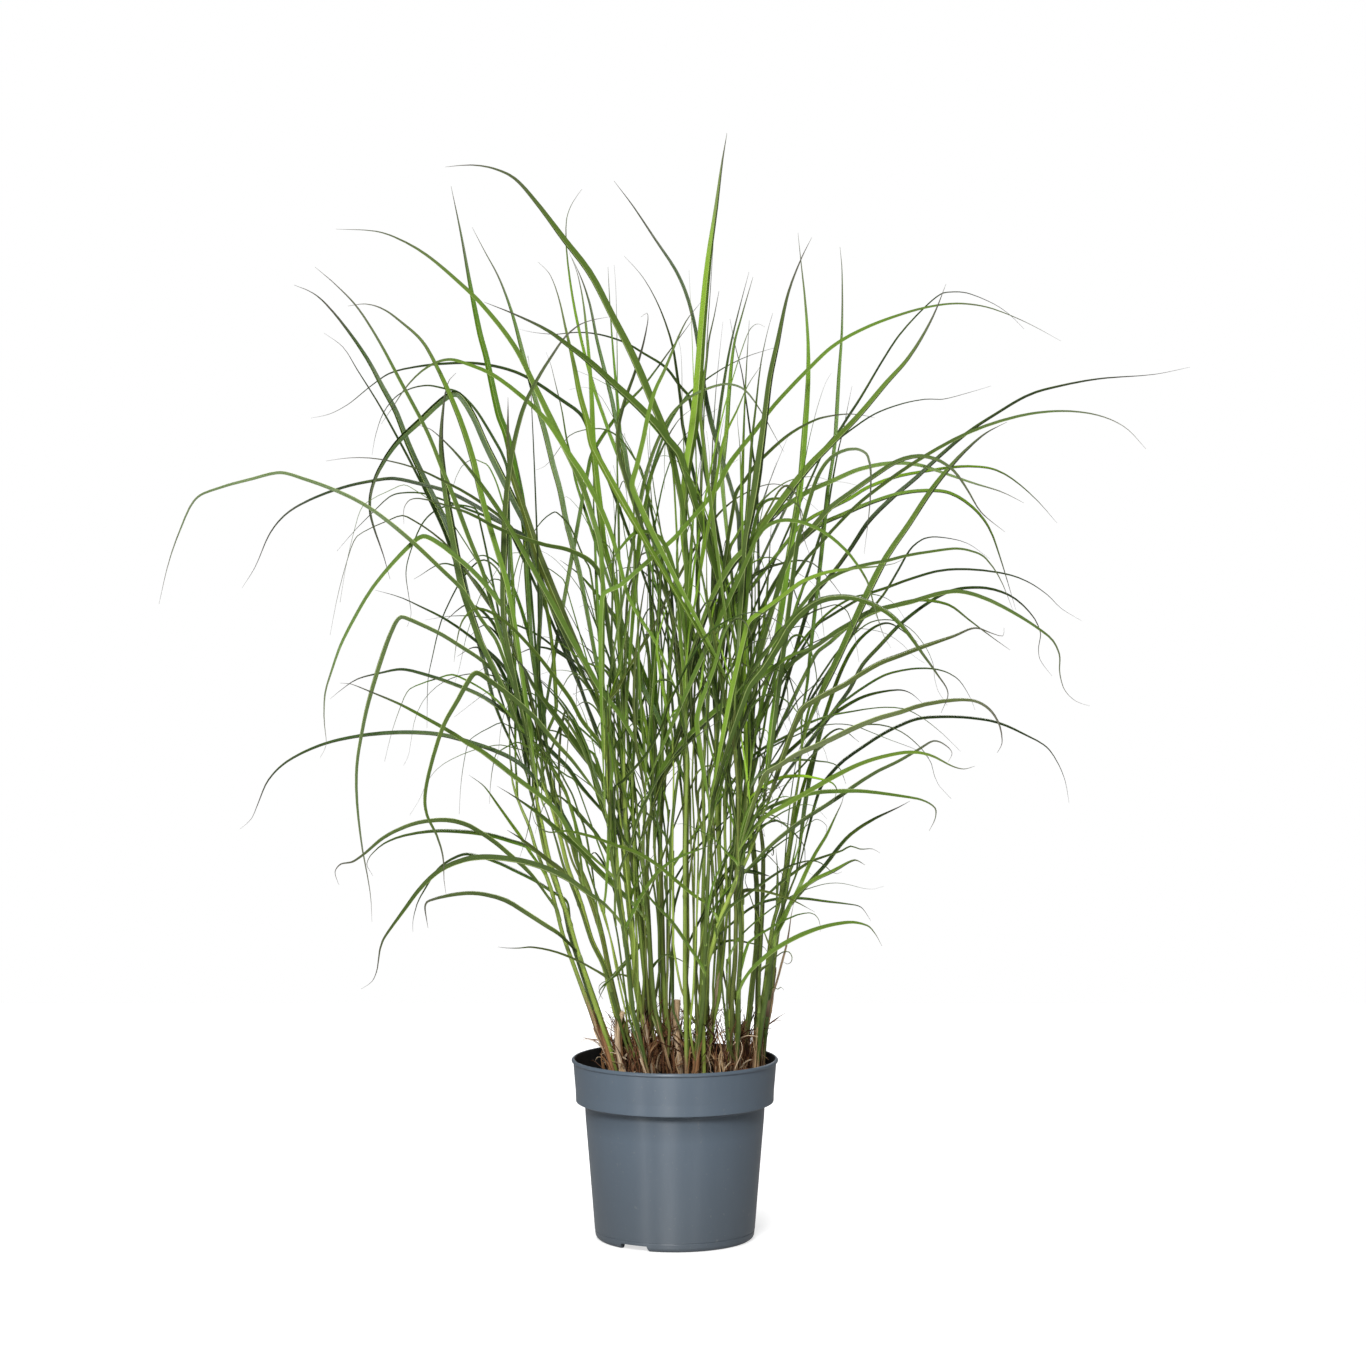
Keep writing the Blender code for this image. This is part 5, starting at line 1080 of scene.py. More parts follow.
def dry_straw():
    """Dead leaves and sheaths, streaked, and dark at their feet: partly damp, partly painted shade."""
    look = Finish("dry_straw", 0.75, 0.25)
    lay, tone, reach = look.read("lay", "Vector"), look.read("tone", "Color"), look.read("reach", "Fac")
    streaks = look.grain(lay, (1.0, 1.0, 3.0), 9.0, 4.0, 0.6)
    bloom = look.grain(lay, (0.6, 0.6, 60.0), 1.8, 4.0, 0.65)
    body = look.blend(look.span(streaks, 0.42, 0.62), tone, look.shaded(tone, (0.32, 0.24, 0.18)))
    body = look.blend(look.span(bloom, 0.55, 0.78, 0.0, 0.45), body, (0.20, 0.11, 0.06))
    # Darker towards each foot: partly damp peat, partly painted shade.
    body = look.blend(look.span(reach, 0.0, 0.28, 0.8, 0.0), body, (0.035, 0.016, 0.008))
    look.colour(body)
    look.roughness(look.span(bloom, 0.3, 0.7, 0.62, 0.88))
    look.relief(streaks, 0.7, 0.0005)
    return look.material


GREEN, CULM, STRAW = leaf_green(), culm_green(), dry_straw()
ON_LEAF, ON_CULM, ON_STRAW = range(3)
print("finishes:", GREEN.name, CULM.name, STRAW.name)

# %% [markdown]
# ## Leaves
#
# A leaf is a V with a groove over its midrib and thin edges. Its first two centimetres curl round
# the culm as the sheath does, and then open into the V. The width breathes a little and the leaf
# twists towards its tip, because a ruler-straight ribbon looks like tape. The high leaves, whose
# names start with a or b, keep more of their drawn width than those in the crowd.

# %% Make a leaf
ACROSS = np.array([-1, -0.84, -0.5, -0.16, 0, 0.16, 0.5, 0.84, 1])
ACROSS_FINE = np.array([-1, -0.5, 0, 0.5, 1])
FOLD = 0.7
EDGE_THICKNESS = 0.10
RIB_THICKNESS = 0.42
SHEATH_OPENS = 26.0
SHEATH_WRAP = 2.1
CULM_FOOT = 1.5
CULM_BELLY = 1.95
CULM_HEAD = 1.25
HIGH_LEAVES = "ab"
DRAWN_WIDTH = 0.78
DRAWN_WIDTH_HIGH = 0.93
TONES = {
    "y": [(0.36, 0.60, 0.030), (0.27, 0.53, 0.025)],
    "g": [(0.110, 0.240, 0.014), (0.18, 0.33, 0.020)],
    "d": [(0.040, 0.090, 0.010), (0.065, 0.135, 0.013)],
    "o": [(0.105, 0.14, 0.025), (0.135, 0.165, 0.032)],
    "s": [(0.62, 0.48, 0.32), (0.50, 0.35, 0.20)],
}


def tone_between(chance, tone, tones=TONES):
    """A colour between the two of a tone."""
    low, high = tones[tone]
    part = chance.random()
    return tuple(a + (b - a) * part for a, b in zip(low, high))


def is_twin(culm):
    """Whether a culm is a hidden twin of a drawn one."""
    return culm.name.startswith("b")


def culm_thickness(culm, place):
    """A culm's radius in mm at a place on its line."""
    stout = 1 + 0.16 * math.sin(5 * culm.pixels[0][0]) - (0.2 if is_twin(culm) else 0)
    rise = place / (len(culm.depths) - 1)
    closing = np.clip((len(culm.depths) - 1 - place) / 9, 0.12, 1) ** 0.6
    return stout * np.interp(rise, [0, 0.25, 1], [CULM_FOOT, CULM_BELLY, CULM_HEAD]) * closing


def add_leaf(skin, table, wrap, tone, chance, shares, finish=ON_LEAF):
    """A leaf. table holds, for each place: the point, across, upper side, half width and twist."""
    table = finer(table)
    points, wide, upper = table[:, :3], unit(table[:, 3:6]), unit(table[:, 6:9])
    half, twist = table[:, 9], table[:, 10]
    kept = kept_places(points, 0.12 if len(shares) > 5 else 0.3, 5)
    along = np.concatenate([[0], np.cumsum(np.linalg.norm(np.diff(points, axis=0), axis=1))])
    shade = tone_between(chance, tone)
    hue = math.exp(np.clip(chance.gauss(0, 0.22), -0.4, 0.4))
    back = shares[-2:0:-1]
    turn = shares * SHEATH_WRAP
    rolled_x, rolled_z = wrap * np.sin(turn), -wrap * np.cos(turn)
    rings, lay = [], []
    for k in kept:
        cos, sin = math.cos(twist[k]), math.sin(twist[k])
        right, out = cos * wide[k] + sin * upper[k], cos * upper[k] - sin * wide[k]
        h = max(half[k], 0.13)
        opened = np.clip((along[k] / MM - 10) / SHEATH_OPENS, 0, 1)
        opened = opened * opened * (3 - 2 * opened)
        groove = 0.12 * h * np.exp(-((shares / 0.16) ** 2))
        flat_z = -FOLD * h * (1 - np.abs(shares) ** 1.25) - groove
        thick = EDGE_THICKNESS + (RIB_THICKNESS - EDGE_THICKNESS) * (1 - np.abs(shares)) ** 2
        thick = thick * min(1, h / 1.6)
        x = rolled_x + (shares * h - rolled_x) * opened
        z = rolled_z + (flat_z - rolled_z) * opened
        low_x = x + np.sin(turn) * (1 - opened) * thick
        low_z = z - (np.cos(turn) * (1 - opened) + opened) * thick
        top = points[k] + (x[:, None] * right + z[:, None] * out) * MM
        under = points[k] + (low_x[:, None] * right + low_z[:, None] * out) * MM
        rings.append(np.vstack([top, under[-2:0:-1]]))
        lay.append([(s, 1.0, along[k]) for s in shares] + [(s, -1.0, along[k]) for s in back])
    skin.add(rings, lay, [hue * c for c in shade], along[kept] / along[-1], finish)


def add_drawn_leaf(skin, blade, chance):
    """A leaf that the photo shows, as wide and as turned as it shows there."""
    points = blade.points()
    half, face = taper(blade), facing(blade)
    _, wide, upper = frames(points, face, blade.lean())
    points = rooted(points, blade)
    count = len(points)
    u = np.linspace(0, 1, count)
    point = blade.width / 2 * np.interp(u, [0.45, 0.75, 0.92, 1], [1, 0.62, 0.2, 0]) + 0.12
    half = np.where(u > 0.5, np.minimum(half, point), half)
    if blade.name[0] in HIGH_LEAVES:
        half = half * DRAWN_WIDTH_HIGH * np.interp(u, [0, 0.3, 0.5], [0.5, 0.75, 1])
    else:
        half = half * DRAWN_WIDTH * np.interp(u, [0, 0.25], [0.6, 1])
    half = half * (1 + 0.08 * wander(chance, count, 9))
    twist = 0.2 * wander(chance, count, 14) + 0.8 * chance.uniform(-1, 1) * u**4
    table = np.hstack([points, wide, upper, half[:, None], twist[:, None]])
    wrap = culm_thickness(blade.culm, min(blade.joint, len(blade.culm.depths) - 1)) + 0.3
    add_leaf(skin, table, wrap, blade.tone, chance, ACROSS, ON_STRAW if blade.tone == "s" else ON_LEAF)

# %% [markdown]
# ## Fine inner leaves
#
# The crowd between the drawn leaves is made of thinner ones. Each is grown from the same culm: it
# takes the course of one of the culm's own leaves, starts lower or higher, is shorter and thinner,
# and swings round the culm, so it stays inside the space that the tiller already fills. A pair of
# counts is for a culm in the heart of the clump and for one outside it.

# %% Fine inner leaves
HEART_COLUMNS = (600, 746)
LOW_FINE = (2, 0)
HIGH_FINE = (5, 1)
UPRIGHT = np.array((0.0, 0.0, 1.0))


def in_heart(culm):
    """Whether a culm stands in the middle of the clump, where the leaves crowd."""
    return HEART_COLUMNS[0] < culm.pixels[len(culm.pixels) // 2][0] < HEART_COLUMNS[1]


def add_fine_leaf(skin, culm, chance, stem=None, place=None, high=False):
    """A thin leaf from a place on the culm, high or low, or on a side shoot of it."""
    wrap = 1.1
    leaf = chance.choice(culm.leaves)
    if stem is None:
        stem = culm.points()
        place = round((len(stem) - 1) * (chance.uniform(0.8, 1) if high else chance.uniform(0.4, 0.9)))
        wrap = culm_thickness(culm, place) + 0.25
    swing = math.radians(chance.gauss(0, 45 if high else 60))
    size = chance.uniform(0.6, 0.98) if high else chance.uniform(0.4, 0.8)
    way = leaf.points()
    way = way - way[0]
    cos, sin = math.cos(swing), math.sin(swing)
    x, y = way[:, 0].copy(), way[:, 1].copy()
    way = np.stack([cos * x - sin * y, sin * x + cos * y, way[:, 2]], axis=1)
    steep = chance.uniform(0.1, 0.75) if high else chance.uniform(0.35, 0.95)
    way = way * (steep, steep, 1.0) * size
    points = stem[place] + way
    points = points[:: 2 if size < 0.55 else 1]
    count = len(points)
    if count < 8:
        return
    u = np.linspace(0, 1, count)
    forward = unit(np.gradient(points, axis=0))
    level = points[-1] - points[0]
    level[2] = 0
    wide = unit(np.cross(UPRIGHT, level) + 1e-6 * RIGHT)
    wide = unit(wide - (forward @ wide)[:, None] * forward)
    upper = np.cross(wide, forward)
    upper = upper * (1 if upper[:, 2].sum() > 0 else -1)
    wide = np.cross(forward, upper)
    width = chance.uniform(1.6, 4.4)
    half = width / 2 * np.interp(u, [0, 0.05, 0.2, 0.5, 0.8, 1], [0.4, 0.7, 1, 0.9, 0.4, 0.05])
    turned = chance.uniform(-0.9, 0.9)
    twist = turned + 0.5 * wander(chance, count, 12) + 1.2 * chance.uniform(-1, 1) * u**2
    table = np.hstack([points, wide, upper, half[:, None], twist[:, None]])
    # Fine leaves of hidden twins lean to dark tones: partly dark leaves, partly painted shade of the crowd.
    tone = chance.choice("gdddogd" if is_twin(culm) else "ggyddoygdgy")
    add_leaf(skin, table, wrap, tone, chance, ACROSS_FINE)

# %% [markdown]
# ## The shape of a culm
#
# A culm is a round stem inside its sheaths. It thickens at the nodes, steps in a little where a leaf
# leaves, runs down into the peat, and closes at its top where the youngest leaf is still rolled.

# %% Make a culm
CULM_CORNERS = 12
NODE_GAP = (13, 21)
NODE_SWELLING = 0.36
BURIED = 8.0
SHOOTS = (2, 0)
DRIED = {"k1": 0.8, "k5": 0.4, "k6": 0.5, "k13": 0.7, "k16": 0.45, "k17": 0.8}
DRIED_ELSEWHERE = (0.12, 0.5)
FRESH_TO_THE_SOIL = ("k2", "k11", "k12", "k14")
CULM_TONES = {
    "y": [(0.42, 0.54, 0.10), (0.34, 0.46, 0.075)],
    "g": [(0.19, 0.27, 0.045), (0.30, 0.40, 0.07)],
    "d": [(0.070, 0.115, 0.022), (0.12, 0.17, 0.03)],
    "o": [(0.13, 0.16, 0.035), (0.19, 0.22, 0.05)],
    "s": [(0.78, 0.56, 0.34), (0.86, 0.66, 0.42)],
}


def add_stem(skin, fine, radius, tone, finish):
    """A round stem along a line, with its radius in mm at each place."""
    bulges = np.nonzero(np.abs(np.gradient(radius)) > 0.04)[0]
    kept = sorted(set(kept_places(fine, 0.1, 6)) | set(bulges))
    forward = unit(np.gradient(fine, axis=0))
    side = unit(np.cross(forward, (0, 1, 0)))
    front = np.cross(side, forward)
    turns = np.arange(CULM_CORNERS) * 2 * math.pi / CULM_CORNERS
    oval = 1 + 0.05 * np.cos(2 * turns + 1)
    cos, sin = np.cos(turns)[:, None], np.sin(turns)[:, None]
    along = np.concatenate([[0], np.cumsum(np.linalg.norm(np.diff(fine, axis=0), axis=1))])
    rings, lay = [], []
    for k in kept:
        arms = (radius[k] * oval * MM)[:, None]
        rings.append(fine[k] + arms * (cos * side[k] + sin * front[k]))
        lay.append([(math.cos(t), math.sin(t), along[k]) for t in turns])
    skin.add(rings, lay, tone, np.array(kept) / (len(fine) - 1), finish)


def add_culm(skin, culm, chance, finish=ON_CULM):
    """A culm with its nodes, from under the peat to its rolled top."""
    points = culm.points()
    down = unit(points[0] - points[1])
    points = np.vstack([points[0] + down * BURIED * MM, points])
    fine = finer(finer(points))
    place = np.clip(np.arange(len(fine)) / 4 - 1, 0, len(culm.depths) - 1)
    green = finish == ON_CULM
    radius = culm_thickness(culm, place) if green else np.full(len(fine), culm.width / 2)
    spot = chance.uniform(6, 12)
    while green and spot < len(culm.depths) - 6:
        radius = radius + NODE_SWELLING * np.exp(-(((place - spot) / 0.28) ** 2))
        radius = radius + 0.14 * np.clip(1 - (place - spot) / 9, 0, 1) * (place > spot)
        spot += chance.uniform(*NODE_GAP)
    for leaf in culm.leaves:
        radius = radius + 0.2 * (place < leaf.joint) / len(culm.leaves)
    # Hidden twins lean to dark tones: partly dark culms, partly painted shade of the crowd.
    kind = chance.choice("gdddoo") if is_twin(culm) else culm.tone
    dried = 0.0
    if culm.name not in FRESH_TO_THE_SOIL:
        dried = DRIED.get(culm.name, chance.uniform(*DRIED_ELSEWHERE))
    add_stem(skin, fine, radius, (*tone_between(chance, kind, CULM_TONES), dried), finish)


def add_shoot(skin, culm, chance):
    """A thin side shoot that rises beside the culm and ends in a leaf."""
    stem = culm.points()
    start = round(len(stem) * chance.uniform(0.04, 0.22))
    count = round(len(stem) * chance.uniform(0.4, 0.75))
    turn = math.atan2(-stem[0][1], -stem[0][0]) + chance.uniform(-1.3, 1.3)
    rise = np.linspace(0, 1, count)
    gap = chance.uniform(6, 13) * np.clip(5 * rise, 0, 1) ** 0.7 + chance.uniform(-4, 20) * rise**1.5
    sideways = np.array((math.cos(turn), math.sin(turn), 0.0))
    points = stem[start : start + count] + gap[: len(stem) - start, None] * sideways * MM
    count = len(points)
    fine = finer(points)
    radius = np.linspace(chance.uniform(0.9, 1.4), 0.7, len(fine))
    tone = tone_between(chance, chance.choice("yggdo"), CULM_TONES)
    add_stem(skin, fine, radius, tone, ON_CULM)
    add_fine_leaf(skin, culm, chance, points, count - 3)

# %% [markdown]
# ## Put each tiller together
#
# One culm and its leaves are one piece, as they are one solid in the frame, so each new piece
# replaces the tiller of the same number.

# %% Tillers and stubs
def build_tiller(number, culm):
    """A culm with all that grows on it, as one piece."""
    chance = random.Random(SEED * 100 + number)
    skin = Skin()
    add_culm(skin, culm, chance)
    for blade in culm.leaves:
        add_drawn_leaf(skin, blade, chance)
    zone = 0 if in_heart(culm) else 1
    for _ in range(LOW_FINE[zone]):
        add_fine_leaf(skin, culm, chance)
    for _ in range(HIGH_FINE[zone]):
        add_fine_leaf(skin, culm, chance, high=True)
    for _ in range(SHOOTS[zone]):
        add_shoot(skin, culm, chance)
    tiller = skin.piece(f"grass_tiller_{number:02d}", [GREEN, CULM, STRAW])
    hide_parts(f"tiller_{number:02d}")
    return tiller


tillers = [build_tiller(number, culm) for number, culm in enumerate(culms, 1)]
print("tillers:", len(tillers), "corners:", sum(len(tiller.data.vertices) for tiller in tillers))

for number, stub in enumerate(stubs, 1):
    chance = random.Random(SEED * 200 + number)
    skin = Skin()
    add_culm(skin, stub, chance, ON_STRAW)
    shoot = skin.piece(f"dead_shoot_{number}", [GREEN, CULM, STRAW])
    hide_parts(f"straw_stub_{number}")

# %% [markdown]
# ## The pot
#
# The pot is one moulding: a wide collar with a rolled lip, a tapering wall and a rounded foot. Its
# profile, a list of (radius, height) in mm, is turned about the upright axis. Ribs under the floor
# are joined to it, and the notches and drain holes are cut afterwards. The slate finish is polished
# more along than across, so each light leaves a soft upright sheen, as on the real moulding.

# %% Pot profile and finishes
POT_WALL = [
    (94.35, 165.7), (94.85, 165.2), (95.0, 164.5), (94.9, 163.8), (94.5, 163.4), (93.7, 163.3),
    (93.4, 162.9), (92.6, 152), (91.3, 137), (91.0, 127.4), (90.8, 126.8), (90.3, 126.5),
    (84.2, 124.8), (83.3, 124.4), (82.8, 123.2), (82.2, 112), (78.6, 68),
    (74.9, 22), (73.95, 10.2), (73.85, 8.6), (73.35, 8.2), (73.35, 7.8), (73.6, 7.4), (73.2, 3.6),
    (72.2, 1.6), (70.6, 0.4), (69.0, 0.0), (66.2, 0.0), (66.0, 0.3), (66.0, 5.8), (65.8, 6.0),
    (14.2, 6.0), (14.0, 5.8), (14.0, 0.2), (13.8, 0.0), (0, 0),
]
POT_INSIDE = [
    (0, 8), (71.4, 8.0), (71.75, 8.4), (80.7, 117.2), (81.2, 126.8), (82.0, 128.0), (88.2, 128.9),
    (88.8, 129.9), (91.5, 162.4), (91.9, 165.2), (92.6, 166.2), (93.2, 166.5), (93.85, 166.2),
]
COLLAR_EDGE = 0.1262


def slate_plastic():
    """The pot's outside, polished upright, darker towards the foot, with a painted shadow under the collar.
    """
    look = Finish("slate_plastic", 0.42, 0.6)
    look.shader.inputs["Anisotropic"].default_value = 0.85
    look.shader.inputs["Anisotropic Rotation"].default_value = 0.25
    place = look.node("ShaderNodeTexCoord", {}).outputs["Object"]
    height = look.apart(place)[2]
    mould = look.grain(place, (1.0, 1.0, 1.0), 900.0, 3.0, 0.6)
    cloud = look.grain(place, (1.0, 1.0, 0.35), 22.0, 4.0, 0.6)
    drag = look.grain(place, (1.0, 1.0, 0.04), 160.0, 3.0, 0.6)
    specks = look.grain(place, (1.0, 1.0, 1.0), 260.0, 2.0, 0.5)
    body = look.blend(look.span(cloud, 0.3, 0.7), (0.096, 0.127, 0.164), (0.107, 0.141, 0.180))
    body = look.blend(look.span(drag, 0.45, 0.75, 0.0, 0.12), body, (0.135, 0.160, 0.188))
    low = look.span(height, 0.0, 0.11, 0.55, 0.0)
    body = look.blend(low, body, (0.082, 0.094, 0.104))
    body = look.blend(look.span(specks, 0.68, 0.74, 0.0, 0.35), body, (0.19, 0.20, 0.20))
    # Painted shadow: a dark band just under the collar's edge, fading downwards.
    below_collar = look.span(height, COLLAR_EDGE, COLLAR_EDGE + 0.0003, 1.0, 0.0)
    painted_collar_shadow = look.sum("MULTIPLY", look.span(height, 0.100, 0.124, 0.0, 0.5), below_collar)
    body = look.blend(painted_collar_shadow, body, (0.030, 0.040, 0.050))
    look.colour(body)
    rough = look.sum("ADD", look.span(cloud, 0.3, 0.7, 0.40, 0.45), look.span(drag, 0.4, 0.8, 0.0, 0.03))
    look.roughness(rough)
    look.relief(mould, 0.12, 0.00008)
    return look.material


def black_plastic():
    """The pot's inside, dull and dusted with peat."""
    look = Finish("black_plastic", 0.55, 0.3)
    place = look.node("ShaderNodeTexCoord", {}).outputs["Object"]
    cloud = look.grain(place, (1.0, 1.0, 0.3), 40.0, 4.0, 0.6)
    dust = look.grain(place, (1.0, 1.0, 1.0), 420.0, 3.0, 0.6)
    body = look.blend(look.span(cloud, 0.3, 0.7), (0.008, 0.009, 0.009), (0.016, 0.015, 0.014))
    body = look.blend(look.span(dust, 0.62, 0.75, 0.0, 0.5), body, (0.045, 0.028, 0.018))
    look.colour(body)
    look.roughness(look.span(cloud, 0.3, 0.7, 0.5, 0.7))
    look.relief(dust, 0.3, 0.0003)
    return look.material

# %% Turn the pot and cut its notches
POT_STEPS = 144
QUARTERS = 4
NOTCH_TURN = -31.0
NOTCH_FROM, NOTCH_TO = 62.0, 78.0
NOTCH_HALF, NOTCH_FLARE = 13.5, 2.5
NOTCH_TOP = 5.2
RIB_FROM, RIB_TO = 11.0, 67.5
RIB_HALF = 1.1
RIB_FOOT, RIB_TOP = 1.0, 6.8
DRAIN_AT, DRAIN_RADIUS = 46.0, 5.5
DRAIN_LOW, DRAIN_HIGH = 1.0, 13.0
DRAIN_CORNERS = 24
POT_FLOOR_LOW, POT_FLOOR_HIGH = 0.0075, 0.0085
POT_FLOOR_RADIUS, LIP_RADIUS = 0.072, 0.0925


def crisp(profile, gap=0.35):
    """The profile with more corners beside the ends of its long runs, so that each bend is tight."""
    made = [profile[0]]
    for (r, z), (next_r, next_z) in zip(profile, profile[1:]):
        run = math.hypot(next_r - r, next_z - z)
        if run > 3 * gap:
            share_r, share_z = (next_r - r) * gap / run, (next_z - z) * gap / run
            made += [(r + share_r, z + share_z), (next_r - share_r, next_z - share_z)]
        made.append((next_r, next_z))
    return made


def turned_mesh(name, profile, steps):
    """A closed mesh from a (radius, height) profile in mm, turned about the upright axis."""
    angles = np.arange(steps) * 2 * math.pi / steps
    inner = [p for p in profile if p[0] > 0]
    corners = [(r * MM * math.cos(a), r * MM * math.sin(a), z * MM) for r, z in inner for a in angles]
    faces = []
    for k in range(len(inner) - 1):
        for n in range(steps):
            m = (n + 1) % steps
            faces.append((k * steps + n, (k + 1) * steps + n, (k + 1) * steps + m, k * steps + m))
    for k, (r, z) in ((0, profile[0]), (len(inner) - 1, profile[-1])):
        corners.append((0, 0, z * MM))
        tip = len(corners) - 1
        for n in range(steps):
            m = (n + 1) % steps
            ring = (k * steps + n, k * steps + m)
            faces.append((tip, *ring) if k == 0 else (tip, *ring[::-1]))
    mesh = bpy.data.meshes.new(name)
    mesh.from_pydata(corners, [], faces)
    return mesh


def cutter(name, corners, turn):
    """A box whose corners come from a rule, used once to cut and then removed."""
    signs = [(x, y, z) for x in (-1, 1) for y in (-1, 1) for z in (-1, 1)]
    mesh = bpy.data.meshes.new(name)
    faces = [(0, 1, 3, 2), (4, 6, 7, 5), (0, 4, 5, 1), (2, 3, 7, 6), (0, 2, 6, 4), (1, 5, 7, 3)]
    mesh.from_pydata([tuple(MM * v for v in corners(*sign)) for sign in signs], [], faces)
    thing = bpy.data.objects.new(name, mesh)
    thing.rotation_euler.z = math.radians(turn)
    bpy.context.scene.collection.objects.link(thing)
    return thing


def notch_corner(x, y, z):
    """A corner of the notch's cutter, which is wider at the foot."""
    half = NOTCH_HALF + (NOTCH_FLARE if z < 0 else 0)
    return NOTCH_TO if x > 0 else NOTCH_FROM, y * half, NOTCH_TOP if z > 0 else -3


def rib_corner(x, y, z):
    """A corner of a rib under the floor."""
    return RIB_TO if x > 0 else RIB_FROM, y * RIB_HALF, RIB_TOP if z > 0 else RIB_FOOT


def drain_cutter(turn):
    """A rod that cuts a drain hole through the floor."""
    around = range(DRAIN_CORNERS)
    angles = [2 * math.pi * n / DRAIN_CORNERS for n in around]
    circle = [(DRAIN_AT + DRAIN_RADIUS * math.cos(a), DRAIN_RADIUS * math.sin(a)) for a in angles]
    corners = [(x * MM, y * MM, z * MM) for z in (DRAIN_LOW, DRAIN_HIGH) for x, y in circle]
    after = [(n + 1) % DRAIN_CORNERS for n in around]
    walls = [(n, m, DRAIN_CORNERS + m, DRAIN_CORNERS + n) for n, m in zip(around, after)]
    mesh = bpy.data.meshes.new("drain")
    ends = [tuple(reversed(around)), tuple(DRAIN_CORNERS + n for n in around)]
    mesh.from_pydata(corners, [], walls + ends)
    thing = bpy.data.objects.new("drain", mesh)
    thing.rotation_euler.z = math.radians(turn)
    bpy.context.scene.collection.objects.link(thing)
    return thing


def build_pot():
    """The pot, turned, with ribs and drains in each quarter and a notch in every other one."""
    turned = turned_mesh("nursery_pot", crisp(POT_INSIDE + POT_WALL), POT_STEPS)
    pot = bpy.data.objects.new("nursery_pot", turned)
    bpy.context.scene.collection.objects.link(pot)
    cutters = []
    for number in range(QUARTERS):
        turn = NOTCH_TURN - 90 + 90 * number
        cutters.append((cutter("rib", rib_corner, turn + 45), "UNION"))
        if number % 2 == 0:
            cutters.append((cutter("notch", notch_corner, turn), "DIFFERENCE"))
        cutters.append((drain_cutter(turn), "DIFFERENCE"))
    for thing, operation in cutters:
        cut = pot.modifiers.new(thing.name, "BOOLEAN")
        cut.object = thing
        cut.operation = operation
        cut.solver = "EXACT"
    graph = bpy.context.evaluated_depsgraph_get()
    mesh = bpy.data.meshes.new_from_object(pot.evaluated_get(graph))
    pot.modifiers.clear()
    pot.data = mesh
    for thing, _ in cutters:
        bpy.data.objects.remove(thing, do_unlink=True)
    mesh.materials.clear()
    mesh.materials.append(slate_plastic())
    mesh.materials.append(black_plastic())
    for face in mesh.polygons:
        spot, way = face.center, face.normal
        inward = spot.x * way.x + spot.y * way.y < 0
        radius = math.hypot(spot.x, spot.y)
        inside = spot.z > POT_FLOOR_LOW and inward and radius < LIP_RADIUS
        on_floor = POT_FLOOR_LOW < spot.z < POT_FLOOR_HIGH and radius < POT_FLOOR_RADIUS
        face.material_index = 1 if inside or on_floor else 0
        face.use_smooth = True
    mesh.set_sharp_from_angle(angle=math.radians(38))
    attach(pot, "root")
    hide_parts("pot")
    return pot


pot = build_pot()
print("pot corners:", len(pot.data.vertices))

# %% [markdown]
# ## Peat
#
# The root ball's top is a crumbly mound, rougher than a smooth noise: lumps lie on it, fine crumbs
# between them and a few pale bits. The mound is a disc raised by noise, and the lumps are small bent
# balls half sunk into it, because a raised disc alone has no overhangs for shadows.

# %% Peat finish and surface
def peat():
    """Damp peat with crumbs and a few fibres."""
    look = Finish("peat", 0.92, 0.2)
    place = look.node("ShaderNodeTexCoord", {}).outputs["Object"]
    tone = look.read("tone", "Color")
    crumbs = look.grain(place, (1.0, 1.0, 1.0), 700.0, 5.0, 0.7)
    fibres = look.grain(place, (1.0, 0.12, 0.5), 900.0, 2.0, 0.6)
    damp = look.grain(place, (1.0, 1.0, 1.0), 60.0, 3.0, 0.6)
    body = look.blend(look.span(crumbs, 0.35, 0.7), look.shaded(tone, (0.3, 0.25, 0.22)), tone)
    body = look.blend(look.span(fibres, 0.66, 0.74, 0.0, 0.7), body, (0.13, 0.07, 0.035))
    body = look.blend(look.span(damp, 0.5, 0.7, 0.0, 0.4), body, (0.012, 0.006, 0.004))
    look.colour(body)
    look.roughness(look.span(damp, 0.4, 0.7, 0.95, 0.7))
    look.relief(crumbs, 1.0, 0.0012)
    return look.material


SOIL_RINGS = 34
SOIL_SPOKES = 120
SOIL_EDGE = 91.2
SOIL_REACH = 89.4
SOIL_BODY = [(88.0, 129.4), (80.8, 127.4), (80.2, 117.0), (71.2, 8.4)]
PEAT_TONES = [
    (0.028, 0.011, 0.006),
    (0.016, 0.006, 0.004),
    (0.055, 0.024, 0.013),
    (0.13, 0.08, 0.05),
]
CRUMBS = 900
CRUMB_RINGS = 6
CRUMB_CORNERS = 8


def peat_height(x, y):
    """The rough soil's height in mm at a place in mm."""
    spot = Vector((x, y, 3.0))
    lumps = noise.fractal(spot * 0.11, 0.9, 2.1, 4)
    return soil_height(x, y) + 1.3 * lumps + 0.5 * noise.noise(spot * 0.9)


